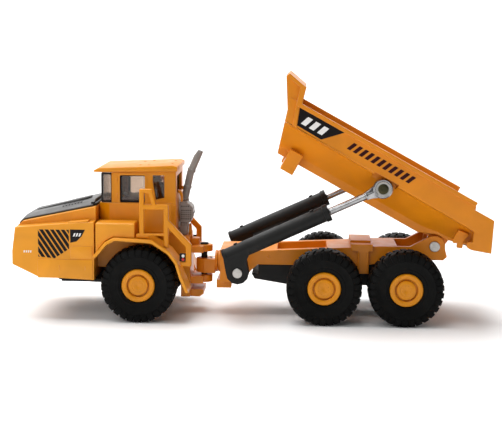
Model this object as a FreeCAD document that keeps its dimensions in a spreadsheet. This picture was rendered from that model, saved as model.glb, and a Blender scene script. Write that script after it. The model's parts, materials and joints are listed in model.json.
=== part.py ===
"""Toy articulated dump truck, about 1:87, as separate pieces.  Millimetres.

Frame: +Z up, +X towards the tail, +Y towards the truck's right side, z = 0 the ground, x = y = 0
the middle of the whole toy with its bed raised.  Stations along the truck are measured from the
front axle, and every piece is placed by front_axle_x.  The bed is drawn lowered, about its own
hinge, and the lift cylinders are drawn along their own axes; their placements raise them.
"""
import FreeCAD, Part
import math
import os
import re

import Sketcher

V = FreeCAD.Vector
DOC = FreeCAD.newDocument("articulated_dump_truck")
SHEET = DOC.addObject("Spreadsheet::Sheet", "dims")

DIMENSIONS = {
    # stations of the axles, and the wheels
    "front_axle_x": -30.453,
    "mid_station": 51.2,
    "rear_station": 73.64,
    "tyre_radius": 10.445,
    "tyre_width": 8.6,
    "tyre_outer_y": 19.6,
    "rim_radius": 4.6,
    "rim_width": 7.4,
    "rim_groove_out": 3.15,
    "rim_groove_in": 2.7,
    "axle_radius": 0.75,
    "running_gap": 0.05,
    "housing_radius": 2.4,
    "housing_half": 10.5,
    # articulation: upright hitch pin and lengthwise roll pin
    "hitch_station": 16.8,
    "hitch_pin_radius": 0.9,
    "roll_height": 14.5,
    "roll_pin_radius": 1.2,
    "flange_radius": 3.1,
    "flange_face": 20.85,
    # rear frame
    "frame_half": 8.0,
    "frame_front": 21.8,
    "frame_top_front": 18.95,
    "frame_top_rear": 20.7,
    "frame_bottom": 15.0,
    "frame_rear": 85.7,
    # bed hinge and raise
    "hinge_station": 82.1,
    "hinge_height": 20.95,
    "hinge_pin_radius": 1.0,
    "raise_angle": 28.66,
    # lift cylinders
    "lift_y": 16.5,
    "lift_base_station": 27.33,
    "lift_base_height": 14.35,
    "lift_angle": 24.6,
    "lift_offset": 5.17,
    "barrel_radius": 2.16,
    "barrel_bore": 1.55,
    "barrel_back": 1.9,
    "barrel_front": 29.76,
    "lug_radius": 3.2,
    "rod_radius": 1.0,
    "rod_eye_along": 45.67,
    "rod_eye_radius": 2.75,
    "rod_eye_bore": 2.0,
    "rod_inside": 12.5,
    "rod_pin_radius": 0.95,
    # bed, measured from its hinge
    "eye_x": -21.7,
    "eye_z": 7.64,
    "bed_half": 18.7,
    "rim_half": 19.5,
    "rim_top": 17.0,
    "rim_low": 15.9,
    "tail_top": 14.9,
    "crease_z": 10.2,
    "keel_half": 9.4,
    "keel_top": 3.4,
    "bed_bottom": 1.3,
    "bed_wall": 1.2,
    "bed_front": -50.9,
    "front_lean": 16.4,
    # front unit
    "skirt_half": 17.5,
    "skirt_bottom": 11.5,
    "ledge_z": 28.0,
    "hood_half": 14.0,
    "hood_front_z": 27.3,
    "hood_rear_z": 31.65,
    "hood_rear": -12.4,
    "fender_half": 19.5,
    "fender_inner": 10.7,
    "fender_gauge": 0.9,
    "cab_half": 10.5,
    "cab_front": -12.2,
    "cab_rear": 9.5,
    "cab_floor": 24.0,
    "cab_sill": 32.2,
    "cab_head": 40.6,
    "roof_half": 10.9,
    "pillar_half": 9.9,
    "rail_y": 17.0,
    "rail_gauge": 1.6,
}

WORDS = re.compile(r"\b(" + "|".join(sorted(DIMENSIONS, key=len, reverse=True)) + r")\b")


def fill_sheet():
    """Write every driving dimension to the sheet, one row each."""
    for row, (name, number) in enumerate(DIMENSIONS.items(), start=1):
        SHEET.set(f"A{row}", name)
        SHEET.set(f"B{row}", str(number))
        SHEET.setAlias(f"B{row}", name)
    DOC.recompute()


def bound(formula):
    """A formula in sheet names, as an expression that FreeCAD can bind."""
    return WORDS.sub(r"dims.\1", str(formula))


def value(formula):
    """The present number of a formula in sheet names."""
    return float(SHEET.evalExpression(bound(formula)))


# ---------------------------------------------------------------- sketches and features

PLANES = {"XY": "XY_Plane", "XZ": "XZ_Plane", "YZ": "YZ_Plane"}


def new_body(label, x=0, y=0, z=0, about_y=0):
    """An empty Body with its Label and a Placement bound to the sheet.

    x is a station from the front axle, and about_y is a rotation about +Y in degrees."""
    body = DOC.addObject("PartDesign::Body", label)
    body.Label = label
    place(body, x, y, z, about_y)
    return body


def place(thing, x, y, z, about_y=0):
    """Bind an object's Placement to a station, a side offset, a height and a turn about +Y."""
    thing.Placement = FreeCAD.Placement(V(0, 0, 0), FreeCAD.Rotation(V(0, 1, 0), value(about_y)))
    thing.setExpression("Placement.Base.x", bound(f"front_axle_x + ({x})"))
    thing.setExpression("Placement.Base.y", bound(f"{y}"))
    thing.setExpression("Placement.Base.z", bound(f"{z}"))
    if str(about_y) != "0":
        thing.setExpression("Placement.Rotation.Angle", bound(f"({about_y})"))


def new_sketch(body, plane, offset=0, lean=None):
    """A sketch on one of the body's own origin planes, moved along the plane's normal.

    lean turns a YZ sketch about its own horizontal axis, in degrees."""
    sketch = body.newObject("Sketcher::SketchObject", f"{body.Label}_{plane.lower()}_sketch")
    support = [item for item in body.Origin.OriginFeatures if item.Role == PLANES[plane]][0]
    sketch.AttachmentSupport = [(support, "")]
    sketch.MapMode = "FlatFace"
    if lean is not None:
        turn = FreeCAD.Rotation(V(1, 0, 0), value(lean))
        sketch.AttachmentOffset = FreeCAD.Placement(V(0, 0, value(offset)), turn)
    sketch.setExpression("AttachmentOffset.Base.z", bound(offset))
    return sketch


def draw_polygon(sketch, corners):
    """A closed polygon whose every corner is dimensioned from the sketch origin."""
    first = sketch.GeometryCount
    count = len(corners)
    spots = [V(value(across), value(up), 0) for across, up in corners]
    for index in range(count):
        sketch.addGeometry(Part.LineSegment(spots[index], spots[(index + 1) % count]), False)
    joined = [Sketcher.Constraint("Coincident", first + index, 2, first + (index + 1) % count, 1)
              for index in range(count)]
    sketch.addConstraint(joined)
    for index, (across, up) in enumerate(corners):
        for kind, formula, number in (("DistanceX", across, spots[index].x),
                                      ("DistanceY", up, spots[index].y)):
            row = sketch.addConstraint(Sketcher.Constraint(kind, -1, 1, first + index, 1, number))
            sketch.setExpression(f"Constraints[{row}]", bound(formula))


def draw_circle(sketch, across, up, radius):
    """A circle dimensioned from the sketch origin."""
    centre = V(value(across), value(up), 0)
    item = sketch.addGeometry(Part.Circle(centre, V(0, 0, 1), value(radius)), False)
    for kind, formula, number in (("DistanceX", across, centre.x), ("DistanceY", up, centre.y)):
        row = sketch.addConstraint(Sketcher.Constraint(kind, -1, 1, item, 3, number))
        sketch.setExpression(f"Constraints[{row}]", bound(formula))
    row = sketch.addConstraint(Sketcher.Constraint("Radius", item, value(radius)))
    sketch.setExpression(f"Constraints[{row}]", bound(radius))


def draw(sketch, loops):
    """Draw each loop: a list of corners is a polygon, a tuple of three is a circle."""
    for loop in loops:
        if isinstance(loop, tuple):
            draw_circle(sketch, *loop)
        else:
            draw_polygon(sketch, loop)


def pad(body, plane, loops, low, high):
    """Material between two positions along the plane's axis.  XZ sketches face -Y."""
    start = f"-({high})" if plane == "XZ" else low
    sketch = new_sketch(body, plane, start)
    draw(sketch, loops)
    feature = body.newObject("PartDesign::Pad", f"{body.Label}_pad")
    feature.Profile = sketch
    feature.setExpression("Length", bound(f"({high}) - ({low})"))
    DOC.recompute()
    return feature


def pocket(body, plane, loops, low, high):
    """A cut between two positions along the plane's axis; it has to remove material."""
    before = body.Tip.Shape.Volume
    start = f"-({low})" if plane == "XZ" else high
    sketch = new_sketch(body, plane, start)
    draw(sketch, loops)
    feature = body.newObject("PartDesign::Pocket", f"{body.Label}_pocket")
    feature.Profile = sketch
    feature.setExpression("Length", bound(f"({high}) - ({low})"))
    DOC.recompute()
    if not feature.Shape.Volume < before - 1e-6:
        raise ValueError(f"a pocket of {body.Label} cuts nothing")
    return feature


def turned(body, corners):
    """A Revolution about the body's own Y axis; corners are (y, radius)."""
    sketch = new_sketch(body, "YZ")
    draw_polygon(sketch, corners)
    feature = body.newObject("PartDesign::Revolution", f"{body.Label}_turned")
    feature.Profile = sketch
    feature.ReferenceAxis = (sketch, ["H_Axis"])
    feature.Angle = 360
    DOC.recompute()
    return feature


def loft(body, sections, subtract=False):
    """A ruled loft through YZ polygons, each given as (station, lean, corners)."""
    sketches = []
    for station, lean, corners in sections:
        sketch = new_sketch(body, "YZ", station, lean)
        draw_polygon(sketch, corners)
        sketches.append(sketch)
    kind = "PartDesign::SubtractiveLoft" if subtract else "PartDesign::AdditiveLoft"
    feature = body.newObject(kind, f"{body.Label}_loft")
    feature.Profile = sketches[0]
    feature.Sections = sketches[1:]
    feature.Ruled = True
    DOC.recompute()
    return feature


def fillet(body, radius, chosen):
    """Round the edges of the body's tip that the test picks out."""
    base = body.Tip
    names = [f"Edge{index}" for index, edge in enumerate(base.Shape.Edges, start=1) if chosen(edge)]
    feature = body.newObject("PartDesign::Fillet", f"{body.Label}_fillet")
    feature.Base = (base, names)
    feature.Radius = radius
    DOC.recompute()
    return feature


def runs_along(edge, axis):
    """Whether a straight edge runs along one axis, 0 for X, 1 for Y and 2 for Z."""
    box = edge.BoundBox
    spans = [box.XLength, box.YLength, box.ZLength]
    own = spans.pop(axis)
    return own > 1e-4 and max(spans) < 1e-4


def box(low_a, high_a, low_b, high_b):
    """A rectangle as polygon corners."""
    return [(low_a, low_b), (high_a, low_b), (high_a, high_b), (low_a, high_b)]


def mirrored(corners):
    """The same polygon on the other side of its upright axis."""
    return [(f"-({across})", up) for across, up in reversed(corners)]


def flipped(corners):
    """The same plan outline on the other side of its lengthwise axis."""
    return [(across, f"-({up})") for across, up in reversed(corners)]


def both_sides(low, high):
    """The two (low, high) spans in Y of a piece that stands on both sides."""
    return ((f"-({high})", f"-({low})"), (low, high))


SIDES = (("left", -1), ("right", 1))


# ---------------------------------------------------------------- wheels and axles

def make_tyre(label, station, side):
    """A tyre, turned: bead, bulging side walls, rounded shoulders and a flat tread band."""
    body = new_body(label, station, f"{side} * (tyre_outer_y - tyre_width / 2)", "tyre_radius")
    half = "tyre_width / 2"
    quarter = [(f"{half} - 0.8", "rim_radius"), (f"{half} - 0.35", "rim_radius + 0.9"),
               (half, "tyre_radius - 2.2"), (f"{half} - 0.3", "tyre_radius - 0.75"),
               (f"{half} - 1.2", "tyre_radius")]
    turned(body, quarter + mirrored(quarter))
    return body


def make_rim(label, station, side):
    """A wheel rim: outer flange ring, a groove round the hub cap, and a blind axle bore."""
    body = new_body(label, station, f"{side} * (tyre_outer_y - tyre_width / 2)", "tyre_radius")
    out = [("rim_width / 2", "rim_radius"), ("rim_width / 2 + 0.25", "rim_radius - 0.35"),
           ("rim_width / 2 + 0.1", "rim_groove_out"), ("rim_width / 2 - 0.9", "rim_groove_out"),
           ("rim_width / 2 - 0.9", "rim_groove_in"), ("rim_width / 2 - 0.1", "rim_groove_in"),
           ("rim_width / 2 + 0.1", "rim_groove_in - 0.5"), ("rim_width / 2 + 0.2", 0)]
    bore = [("rim_width / 2 - 2.4", 0), ("rim_width / 2 - 2.4", "axle_radius"),
            ("-rim_width / 2", "axle_radius"), ("-rim_width / 2", "rim_radius")]
    corners = out + bore
    if side < 0:
        corners = mirrored(corners)
    turned(body, corners)
    return body


def make_axle(label, station):
    """A plain steel axle pressed into the two rims."""
    body = new_body(label, station, 0, "tyre_radius")
    tip = "tyre_outer_y - tyre_width / 2 + rim_width / 2 - 2.4"
    pad(body, "XZ", [(0, 0, "axle_radius")], f"-({tip})", tip)
    return body


# ---------------------------------------------------------------- rear frame

def bore(body, station, height, radius, half=20):
    """A hole right across the body, parallel to Y."""
    return pocket(body, "XZ", [(station, height, radius)], -half, half)


def arc_corners(station, height, radius, angles):
    """Corners along an arc about a point, at the given angles in degrees."""
    return [(f"{station} + {radius} * cos({angle})", f"{height} + {radius} * sin({angle})")
            for angle in angles]


def make_rear_frame():
    """The rear casting: beam, front neck with the roll flange and foot, cylinder bosses, ears."""
    body = new_body("rear_frame")
    beam = [("frame_front", 9.8), (24.9, 9.8), (29.4, 11.6), (30.6, 13.2), (32.6, "frame_bottom"),
            (62, "frame_bottom"), (72, 17), (81.9, 17), (81.9, "frame_top_rear"),
            (67, "frame_top_rear"), (34, "frame_top_front + 0.05"),
            ("frame_front", "frame_top_front")]
    pad(body, "XZ", [beam], "-frame_half", "frame_half")
    pad(body, "XZ", [box(20.7, 24.9, 7.5, 9.8)], -5, 5)
    pad(body, "YZ", [(0, "roll_height", "flange_radius")], "flange_face + 0.05", "frame_front")
    ear = ([(72, 17), (84.6, 17), ("frame_rear", 18)]
           + arc_corners("hinge_station", "hinge_height", 3.1, (-15, 15, 45, 75, 105, 130))
           + [(75.2, "frame_top_rear")])
    for low, high in both_sides("frame_half - 1.5", "frame_half"):
        pad(body, "XZ", [ear], low, high)
    for low, high in both_sides("frame_half", "lift_y - 2.25"):
        pad(body, "XZ", [("lift_base_station", "lift_base_height", 2.1)], low, high)
    pocket(body, "XY", [box(38, 52, -6, 6)], 16.8, 22)
    pocket(body, "XY", [box(71.8, 82, "-frame_half + 1.5", "frame_half - 1.5")], 17.9, 26)
    pocket(body, "XY", [box(27, 34.5, -5, 5)], 17.4, 20)
    bore(body, "lift_base_station", "lift_base_height", 1.0)
    bore(body, "hinge_station", "hinge_height", "hinge_pin_radius")
    pocket(body, "YZ", [(0, "roll_height", "roll_pin_radius + running_gap")], 20, 26.5)
    return body


def make_bogie_bridge():
    """The saddle over the beam between the two rear axles, with its raised cap and two legs."""
    body = new_body("bogie_bridge")
    top = "frame_top_rear"
    pad(body, "XZ", [box(58.7, 64.8, "frame_top_rear", "frame_top_rear + 0.7")], -9.2, 9.2)
    pad(body, "XZ", [box(58.6, 64.4, f"{top} + 0.7", f"{top} + 1.25")], -5.5, 5.5)
    for low, high in both_sides("frame_half + 0.02", 9.2):
        pad(body, "XZ", [box(58.7, 64.8, 19.4, top)], low, high)
        pad(body, "XZ", [box(60.6, 63.8, 13.0, 19.4)], low, high)
    return body


def make_rear_underbody():
    """The black underbody that carries both rear axles in cross housings."""
    body = new_body("rear_underbody")
    keel = [(30.8, 12.3), (31.6, 10.8), (40.5, 9.4), (80.2, 9.4), (81.4, 11), (81.4, 16.9), (72.2, 16.9),
            (62, "frame_bottom - 0.05"), (32.7, "frame_bottom - 0.05"), (32.7, 12.2)]
    pad(body, "XZ", [keel], -7.4, 7.4)
    for station in ("mid_station", "rear_station"):
        pad(body, "XZ", [(station, "tyre_radius", "housing_radius")], "-housing_half", "housing_half")
        bore(body, station, "tyre_radius", "axle_radius + running_gap")
    return body


def make_cross_pin(label, station, height, radius, reach, head_radius, head):
    """A steel pin across the truck with a flat head at each end."""
    body = new_body(label, station, 0, height)
    pad(body, "XZ", [(0, 0, radius)], f"-({reach})", reach)
    for low, high in both_sides(reach, f"({reach}) + {head}"):
        pad(body, "XZ", [(0, 0, head_radius)], low, high)
    return body


# ---------------------------------------------------------------- bed

def bed_outside(bottom, keel, crease, half, top):
    """The right half of the bed's outer outline, from the rim down to the bottom."""
    return [(half, top), (half, crease), (f"{half} - 2.9", f"{crease} - 0.4"),
            ("keel_half", keel), ("keel_half", bottom)]


def bed_section(bottom, keel, crease, half="bed_half", top="rim_top"):
    """One U-shaped section: side walls, a narrow ledge, sloped lower sides and a flat bottom."""
    wall = "bed_wall"
    outside = bed_outside(bottom, keel, crease, half, top)
    inside = [(f"keel_half - {wall}", f"{bottom} + {wall}"), (f"keel_half - {wall}", f"{keel} + 0.9"),
              (f"{half} - 3.6", f"{crease} + 1.0"), (f"{half} - {wall}", f"{crease} + 1.4"),
              (f"{half} - {wall}", top)]
    return outside + mirrored(outside) + mirrored(inside) + inside


def leaned(corners, lean):
    """Corners for a leaning sketch: heights are longer by the cosine of the lean."""
    return [(across, f"({up}) / cos({lean})") for across, up in corners]


def make_bed():
    """The dump bed: one casting with front wall, rock guard, rims, hinge lugs and tail chute."""
    body = new_body("dump_bed", "hinge_station", 0, "hinge_height", "raise_angle")
    lean = "front_lean"
    tail_lean = 25.7
    front_crease = "crease_z + 0.4"
    front = bed_section("bed_bottom", "keel_top", front_crease)
    loft(body, [("bed_front", f"-{lean}", leaned(front, lean)),
                (-6.5, 0, bed_section("bed_bottom", "keel_top", "crease_z - 0.3")),
                (-1.5, 0, bed_section(3.4, 4.2, "crease_z - 0.35")),
                (2.2, 0, bed_section(3.5, 4.3, "crease_z - 0.4"))])
    tail = bed_section(6.0, 6.6, "crease_z - 0.6", "bed_half - 1.0", "tail_top")
    loft(body, [(2.2, 0, bed_section(3.5, 4.3, "crease_z - 0.4", "bed_half", "tail_top")),
                (15.9, f"-{tail_lean}", leaned(tail, tail_lean))])
    add_chute_sides(body, tail_lean)
    half_wall = bed_outside("bed_bottom", "keel_top", front_crease, "bed_half", "rim_top")
    wall = leaned(half_wall + mirrored(half_wall), lean)
    loft(body, [("bed_front", f"-{lean}", wall), ("bed_front + 1.3", f"-{lean}", wall)])
    add_bed_rims(body)
    add_rock_guard(body)
    add_bed_underside(body)
    return body


def add_chute_sides(body, tail_lean):
    """The deep side faces of the tail chute, filled in to the sloped lower sides."""
    side = [(2.6, "tail_top"), (8.7, "tail_top"), (12.55, 6.8), (7.0, 4.9), (5.9, 5.0), (5.3, 6.2),
            (6.6, 7.0), (5.4, 9.7)]
    for low, high in both_sides("bed_half - 2.0", "bed_half - 0.6"):
        pad(body, "XZ", [side], low, high)
    start = [("keel_half - 0.5", 4.9), ("bed_half - 0.9", 4.9), ("bed_half - 0.9", 9.9),
             ("keel_half - 0.5", 5.7)]
    end = [("keel_half - 0.5", 6.7), ("bed_half - 0.9", 6.7), ("bed_half - 0.9", 9.8),
           ("keel_half - 0.5", 7.0)]
    for first, last in ((start, end), (mirrored(start), mirrored(end))):
        loft(body, [(7.4, 0, first), (15.85, f"-{tail_lean}", leaned(last, tail_lean))])


def add_bed_rims(body):
    """The outward band along each top edge and the rib at each end of it."""
    for low, high in both_sides("bed_half - 0.2", "rim_half"):
        pad(body, "XZ", [box(-53.2, 2.1, "rim_low", "rim_top")], low, high)
    for low, high in both_sides("bed_half - 0.2", "rim_half - 0.2"):
        pad(body, "XZ", [[(-51.6, 10.8), (-50.5, 10.8), (-52.4, "rim_low"), (-53.5, "rim_low")]],
            low, high)


def add_rock_guard(body):
    """The guard that leans forward over the cab: plate, two cheeks, end posts and top flange."""
    plate = [(-54.5, 13.0), (-59.6, 21.4), (-58.5, 21.6), (-55.6, 16.6), (-53.2, 13.0)]
    pad(body, "XZ", [plate], "-bed_half + 1.2", "bed_half - 1.2")
    cheek = [(-54.5, 13.0), (-59.6, 21.4), (-59.2, 22.5), (-54.4, 21.4), (-53.4, "rim_top"),
             (-52.2, 13.0)]
    post = [(-53.5, "rim_low"), (-55.0, 21.3), (-53.4, 21.3), (-52.2, "rim_top"),
            (-52.2, "rim_low")]
    flange = [(-59.6, 21.5), (-59.2, 22.5), (-53.3, 21.3), (-53.6, 20.4)]
    for low, high in both_sides("bed_half - 1.2", "bed_half - 0.2"):
        pad(body, "XZ", [cheek], low, high)
    for low, high in both_sides("bed_half - 0.2", "rim_half"):
        pad(body, "XZ", [post], low, high)
    pad(body, "XZ", [flange], "-rim_half", "rim_half")


def add_bed_underside(body):
    """Rest blocks, hinge lugs, bosses for the rod pins, and small hooks under the tail."""
    for low, high in both_sides("frame_half - 1.2", "keel_half + 3.2"):
        pad(body, "XZ", [box(-48.7, -44.8, -1.75, "bed_bottom + 0.5")], low, high)
    for low, high in both_sides("keel_half - 1.0", "keel_half + 3.2"):
        pad(body, "XZ", [box(-48.7, -44.8, "bed_bottom", 4.4)], low, high)
    lug = [(-3.6, 4.2)] + arc_corners(0, 0, 2.3, (180, 215, 250, 290, 325, 360)) + [(3.0, 4.2)]
    for low, high in both_sides("frame_half - 4.0", "frame_half - 1.8"):
        pad(body, "XZ", [lug], low, high)
        pad(body, "XZ", [[(-6.0, "bed_bottom + 0.2"), (-2.0, 1.6), (-2.0, 4.2), (-6.0, 3.0)]],
            low, high)
    hook = [(2.2, 7.9), (2.0, 4.4), (2.9, 3.9), (3.6, 4.5), (4.2, 3.3), (5.6, 3.85), (5.0, 5.9),
            (5.2, 8.2)]
    for low, high in both_sides("keel_half + 4.4", "keel_half + 5.7"):
        pad(body, "XZ", [hook], low, high)
    bore(body, 0, 0, "hinge_pin_radius + running_gap")
    for low, high in both_sides("lift_y - 2.2", "bed_half - 1.0"):
        pad(body, "XZ", [box(-26.6, -18.0, "crease_z + 0.4", "crease_z + 1.9")], low, high)
    for low, high in both_sides("lift_y - 1.6", "rim_half"):
        pocket(body, "XZ", [box(-26, -18.6, 6.5, "crease_z + 0.45")], low, high)
    for low, high in both_sides("lift_y - 1.6", "lift_y + 1.5"):
        pocket(body, "XZ", [box(-26, -18.6, "crease_z + 0.4", "crease_z + 1.1")], low, high)
    for low, high in both_sides("lift_y - 4.2", "lift_y - 1.4"):
        pad(body, "XZ", [("eye_x", "eye_z", 1.9)], low, high)
    for low, high in both_sides("lift_y - 3.6", "lift_y"):
        pocket(body, "XZ", [("eye_x", "eye_z", "rod_pin_radius")], low, high)


def make_rod_pin(label, side):
    """The headed stub pin on the bed that the rod's eye turns about, with room to spare."""
    body = new_body(label, "hinge_station", 0, "hinge_height", "raise_angle")
    spans = [("lift_y - 3.6", "lift_y + 1.3", "rod_pin_radius"),
             ("lift_y + 1.3", "lift_y + 1.8", 2.05)]
    for low, high, radius in spans:
        if side < 0:
            low, high = f"-({high})", f"-({low})"
        pad(body, "XZ", [("eye_x", "eye_z", radius)], low, high)
    return body


# ---------------------------------------------------------------- lift cylinders

def make_barrel(label, side):
    """A cylinder barrel with its collar and the hanging lug that turns on the base pin."""
    body = new_body(label, "lift_base_station", f"{side} * lift_y", "lift_base_height",
                    "-lift_angle")
    axis = (0, "lift_offset", "barrel_radius")
    pad(body, "YZ", [axis], "-barrel_back", "barrel_front")
    pad(body, "YZ", [(0, "lift_offset", "barrel_radius + 0.26")], "barrel_front - 1.3",
        "barrel_front")
    lug = [("-barrel_back", "lift_offset")] + arc_corners(0, 0, "lug_radius", (155, 185, 215, 245))
    lug += arc_corners(0, 0, "lug_radius", (275, 305, 335, 5)) + [(3.7, 2.1), (5.0, 3.3),
                                                                  (5.4, "lift_offset")]
    pad(body, "XZ", [lug], -2.05, 2.05)
    bore(body, 0, 0, "1.0 + running_gap", 4)
    pocket(body, "YZ", [(0, "lift_offset", "barrel_bore")], 6.2, "barrel_front - 1.4")
    pocket(body, "YZ", [(0, "lift_offset", "rod_radius + running_gap")], "barrel_front - 1.6",
           "barrel_front")
    return body


def make_rod(label, side):
    """A rod with its ring eye, along the barrel's axis."""
    body = new_body(label, "lift_base_station", f"{side} * lift_y", "lift_base_height",
                    "-lift_angle")
    pad(body, "YZ", [(0, "lift_offset", "rod_radius")], "barrel_front - rod_inside",
        "rod_eye_along - rod_eye_bore - 0.3")
    pad(body, "XZ", [("rod_eye_along", "lift_offset", "rod_eye_radius")], -1.2, 1.2)
    neck = [("rod_eye_along - 5.3", "lift_offset - 1.0"), ("rod_eye_along - 2", "lift_offset - 1.7"),
            ("rod_eye_along - 2", "lift_offset + 1.7"), ("rod_eye_along - 5.3", "lift_offset + 1.0")]
    pad(body, "XZ", [neck], -1.0, 1.0)
    bore(body, "rod_eye_along", "lift_offset", "rod_eye_bore", 4)
    return body


# ---------------------------------------------------------------- articulation

def make_hitch_tongue():
    """The tongue between the two units: a fork end on the hitch pin and a round roll flange."""
    body = new_body("hitch_tongue")
    low = "roll_height - 3.2"
    high = "roll_height + 0.9"
    pad(body, "XY", [("hitch_station", 0, 2.3)], low, high)
    pad(body, "XY", [box("hitch_station", 20.1, -3.2, 3.2)], low, high)
    pad(body, "YZ", [(0, "roll_height", "flange_radius")], 20, "flange_face - 0.05")
    pocket(body, "XY", [("hitch_station", 0, "hitch_pin_radius + running_gap")], 8, 18)
    pocket(body, "YZ", [(0, "roll_height", "roll_pin_radius")], 18.6, 22)
    return body


def make_roll_pin():
    """The lengthwise pin, pressed into the tongue, that lets the two units roll."""
    body = new_body("roll_pin")
    pad(body, "YZ", [(0, "roll_height", "roll_pin_radius")], 18.6, 26.3)
    return body


def make_hitch_pin():
    """The dark upright pin through both brackets of the front unit, with a low round head."""
    body = new_body("hitch_pin")
    pad(body, "XY", [("hitch_station", 0, "hitch_pin_radius")], 8.5, 19.3)
    pad(body, "XY", [("hitch_station", 0, 1.2)], 19.3, 19.8)
    return body


# ---------------------------------------------------------------- front unit

def make_front_frame():
    """The front casting under the cab: spine, the two hitch brackets, the skid and a pipe post."""
    body = new_body("front_frame")
    spine = [(-11.8, 13.2), (12.9, 13.2), (12.9, 22.2), (9.7, 22.2), (9.7, "cab_floor - 0.05"),
             (-11.8, "cab_floor - 0.05")]
    pad(body, "XZ", [spine], -6.4, 6.4)
    for low, high in ((17.4, 19.3), (8.5, 10.6)):
        pad(body, "XY", [box(10.6, "hitch_station", -4.5, 4.5)], low, high)
        pad(body, "XY", [("hitch_station", 0, 2.4)], low, high)
    pad(body, "XZ", [box(10.6, 13.2, 5.0, 18)], -6.4, 6.4)
    skid = [(10.6, 5.0), (15.8, 4.8), (17.0, 5.6), (17.0, 6.9), (10.6, 6.9)]
    pad(body, "XZ", [skid], -5, 5)
    pad(body, "XY", [(13.6, 0, 1.9)], 19.2, 21.2)
    pad(body, "XZ", [[(12.3, 21), (13.5, 21), (13.0, 25.2), (12.4, 25.2)]], -1.2, 1.2)
    pocket(body, "XY", [("hitch_station", 0, "hitch_pin_radius")], 8, 20)
    return body


def make_front_base():
    """The black base plate with the front axle's cross housing."""
    body = new_body("front_base")
    plate = [(-26.5, 10.9), (-24, 9.6), (-14, 9.0), (8.5, 9.0), (10.1, 10.6), (10.1, 13.1),
             (-11.5, 13.1), (-11.9, 11.4), (-26.5, 11.4)]
    pad(body, "XZ", [plate], -7.4, 7.4)
    pad(body, "XZ", [box(-22.0, -10.6, 10.6, 11.4)], -15.0, 15.0)
    pad(body, "XZ", [(0, "tyre_radius", "housing_radius")], "-housing_half", "housing_half")
    bore(body, 0, "tyre_radius", "axle_radius + running_gap")
    return body


FENDER = [(-12.6, 18.4), (-9.2, 22.4), (-6.8, 23.7), (3.8, 23.2), (8.7, 20.1), (10.8, 17.3),
          (12.2, 13.0), (14.0, 8.7)]


def fender_line(inset):
    """The wheel arch from the skirt over the top to the rear tip, drawn in towards the hub."""
    line = []
    for station, height in FENDER:
        reach = math.hypot(station - 1, height - 8)
        pull = f"(1 - ({inset}) / {reach:.4f})"
        line.append((f"1 + {station - 1:.3f} * {pull}", f"8 + {height - 8:.3f} * {pull}"))
    return line


def make_front_body():
    """The orange shell: nose, bumper, hood sides, skirts and the two wheel arches."""
    body = new_body("front_body")
    lower = [(-36.0, 17.7), (-35.5, 15.8), (-28.8, 12.6), (-28.0, 12.2),
             ("hood_rear", "skirt_bottom"), ("hood_rear", "ledge_z"),
             (-34.3, "hood_front_z - 1.3"), (-35.2, 19.2)]
    pad(body, "XZ", [lower], "-skirt_half", "skirt_half")
    hood = [(-34.4, 26.0), (-32.9, "hood_front_z"), ("hood_rear", "hood_rear_z"),
            ("hood_rear", 26.0)]
    pad(body, "XZ", [hood], "-hood_half", "hood_half")
    corner = [(-37, "skirt_half - 7.7"), (-35.05, "skirt_half + 0.5"), (-37, "skirt_half + 0.5")]
    pocket(body, "XY", [corner], 5, 40)
    pocket(body, "XY", [flipped(corner)], 5, 40)
    shoulder = [(-36, 26.4), (-11, "ledge_z - 0.2"), (-11, 34), (-36, 34)]
    for low, high in both_sides("hood_half", "skirt_half + 1"):
        pocket(body, "XZ", [shoulder], low, high)
    pocket(body, "XY", [box(-31.5, -13.4, "-skirt_half + 1.4", "skirt_half - 1.4")], 5, 25.2)
    arch = fender_line(0) + list(reversed(fender_line("fender_gauge")))
    web = fender_line(0.3) + [(13.2, 8.9), (10.8, 14), (-12.6, 14)]
    for low, high in both_sides("fender_inner", "fender_half"):
        pad(body, "XZ", [arch], low, high)
    for low, high in both_sides("fender_inner - 0.9", "fender_inner + 0.05"):
        pad(body, "XZ", [web], low, high)
    return body


def make_hood_panel():
    """The grey bonnet panel, with a crowned top."""
    body = new_body("hood_panel")
    rows = ((-34.3, 26.12, 11.8, 0.5, 1.1), (-32.9, 27.33, 12.2, 0.5, 1.1),
            (-13.4, 31.46, 12.4, 0.6, 1.6))
    sections = []
    for station, under, half, edge, crown in rows:
        corners = [(half, under), (half, under + edge), (0.6 * half, under + crown)]
        sections.append((station, 0, corners + mirrored(corners)))
    loft(body, sections)
    return body


def make_cab_body():
    """The cab tub and its pillars in one moulding, open for the windscreen and windows."""
    body = new_body("cab_body")
    plan = [("cab_front", 8.3), (-9.2, "cab_half"), (8.2, "cab_half"), ("cab_rear", 9.2)]
    outline = plan + flipped(plan)
    pad(body, "XY", [outline], "cab_floor", "cab_sill")
    room = [(-10.8, 7.3), (-8.6, "cab_half - 1.3"), (7.4, "cab_half - 1.3"), (8.2, 8.0)]
    pocket(body, "XY", [room + flipped(room)], 25.2, "cab_sill + 1")
    side = [(-8.6, "cab_sill - 0.5"), ("cab_rear", "cab_sill - 0.5"), ("cab_rear", 41.2),
            (-8.6, "cab_head + 0.2")]
    for low, high in both_sides("pillar_half - 0.8", "pillar_half"):
        pad(body, "XZ", [side], low, high)
    pad(body, "YZ", [box("-pillar_half", "pillar_half", "cab_sill - 0.5", 41.1)],
        "cab_rear - 0.9", "cab_rear")
    door = box(-6.3, 0.9, "cab_sill + 0.05", "cab_head - 0.5")
    quarter = [(3.85, 33.2), (6.25, 33.8), (6.25, "cab_head - 0.5"), (3.0, "cab_head - 0.5"), (3.0, 38.4)]
    for low, high in both_sides("pillar_half - 1.0", "pillar_half + 0.2"):
        pocket(body, "XZ", [door, quarter], low, high)
    pocket(body, "YZ", [box(-6.8, 6.8, 34.2, 39.6)], "cab_rear - 1.0", "cab_rear + 0.5")
    return body


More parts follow.
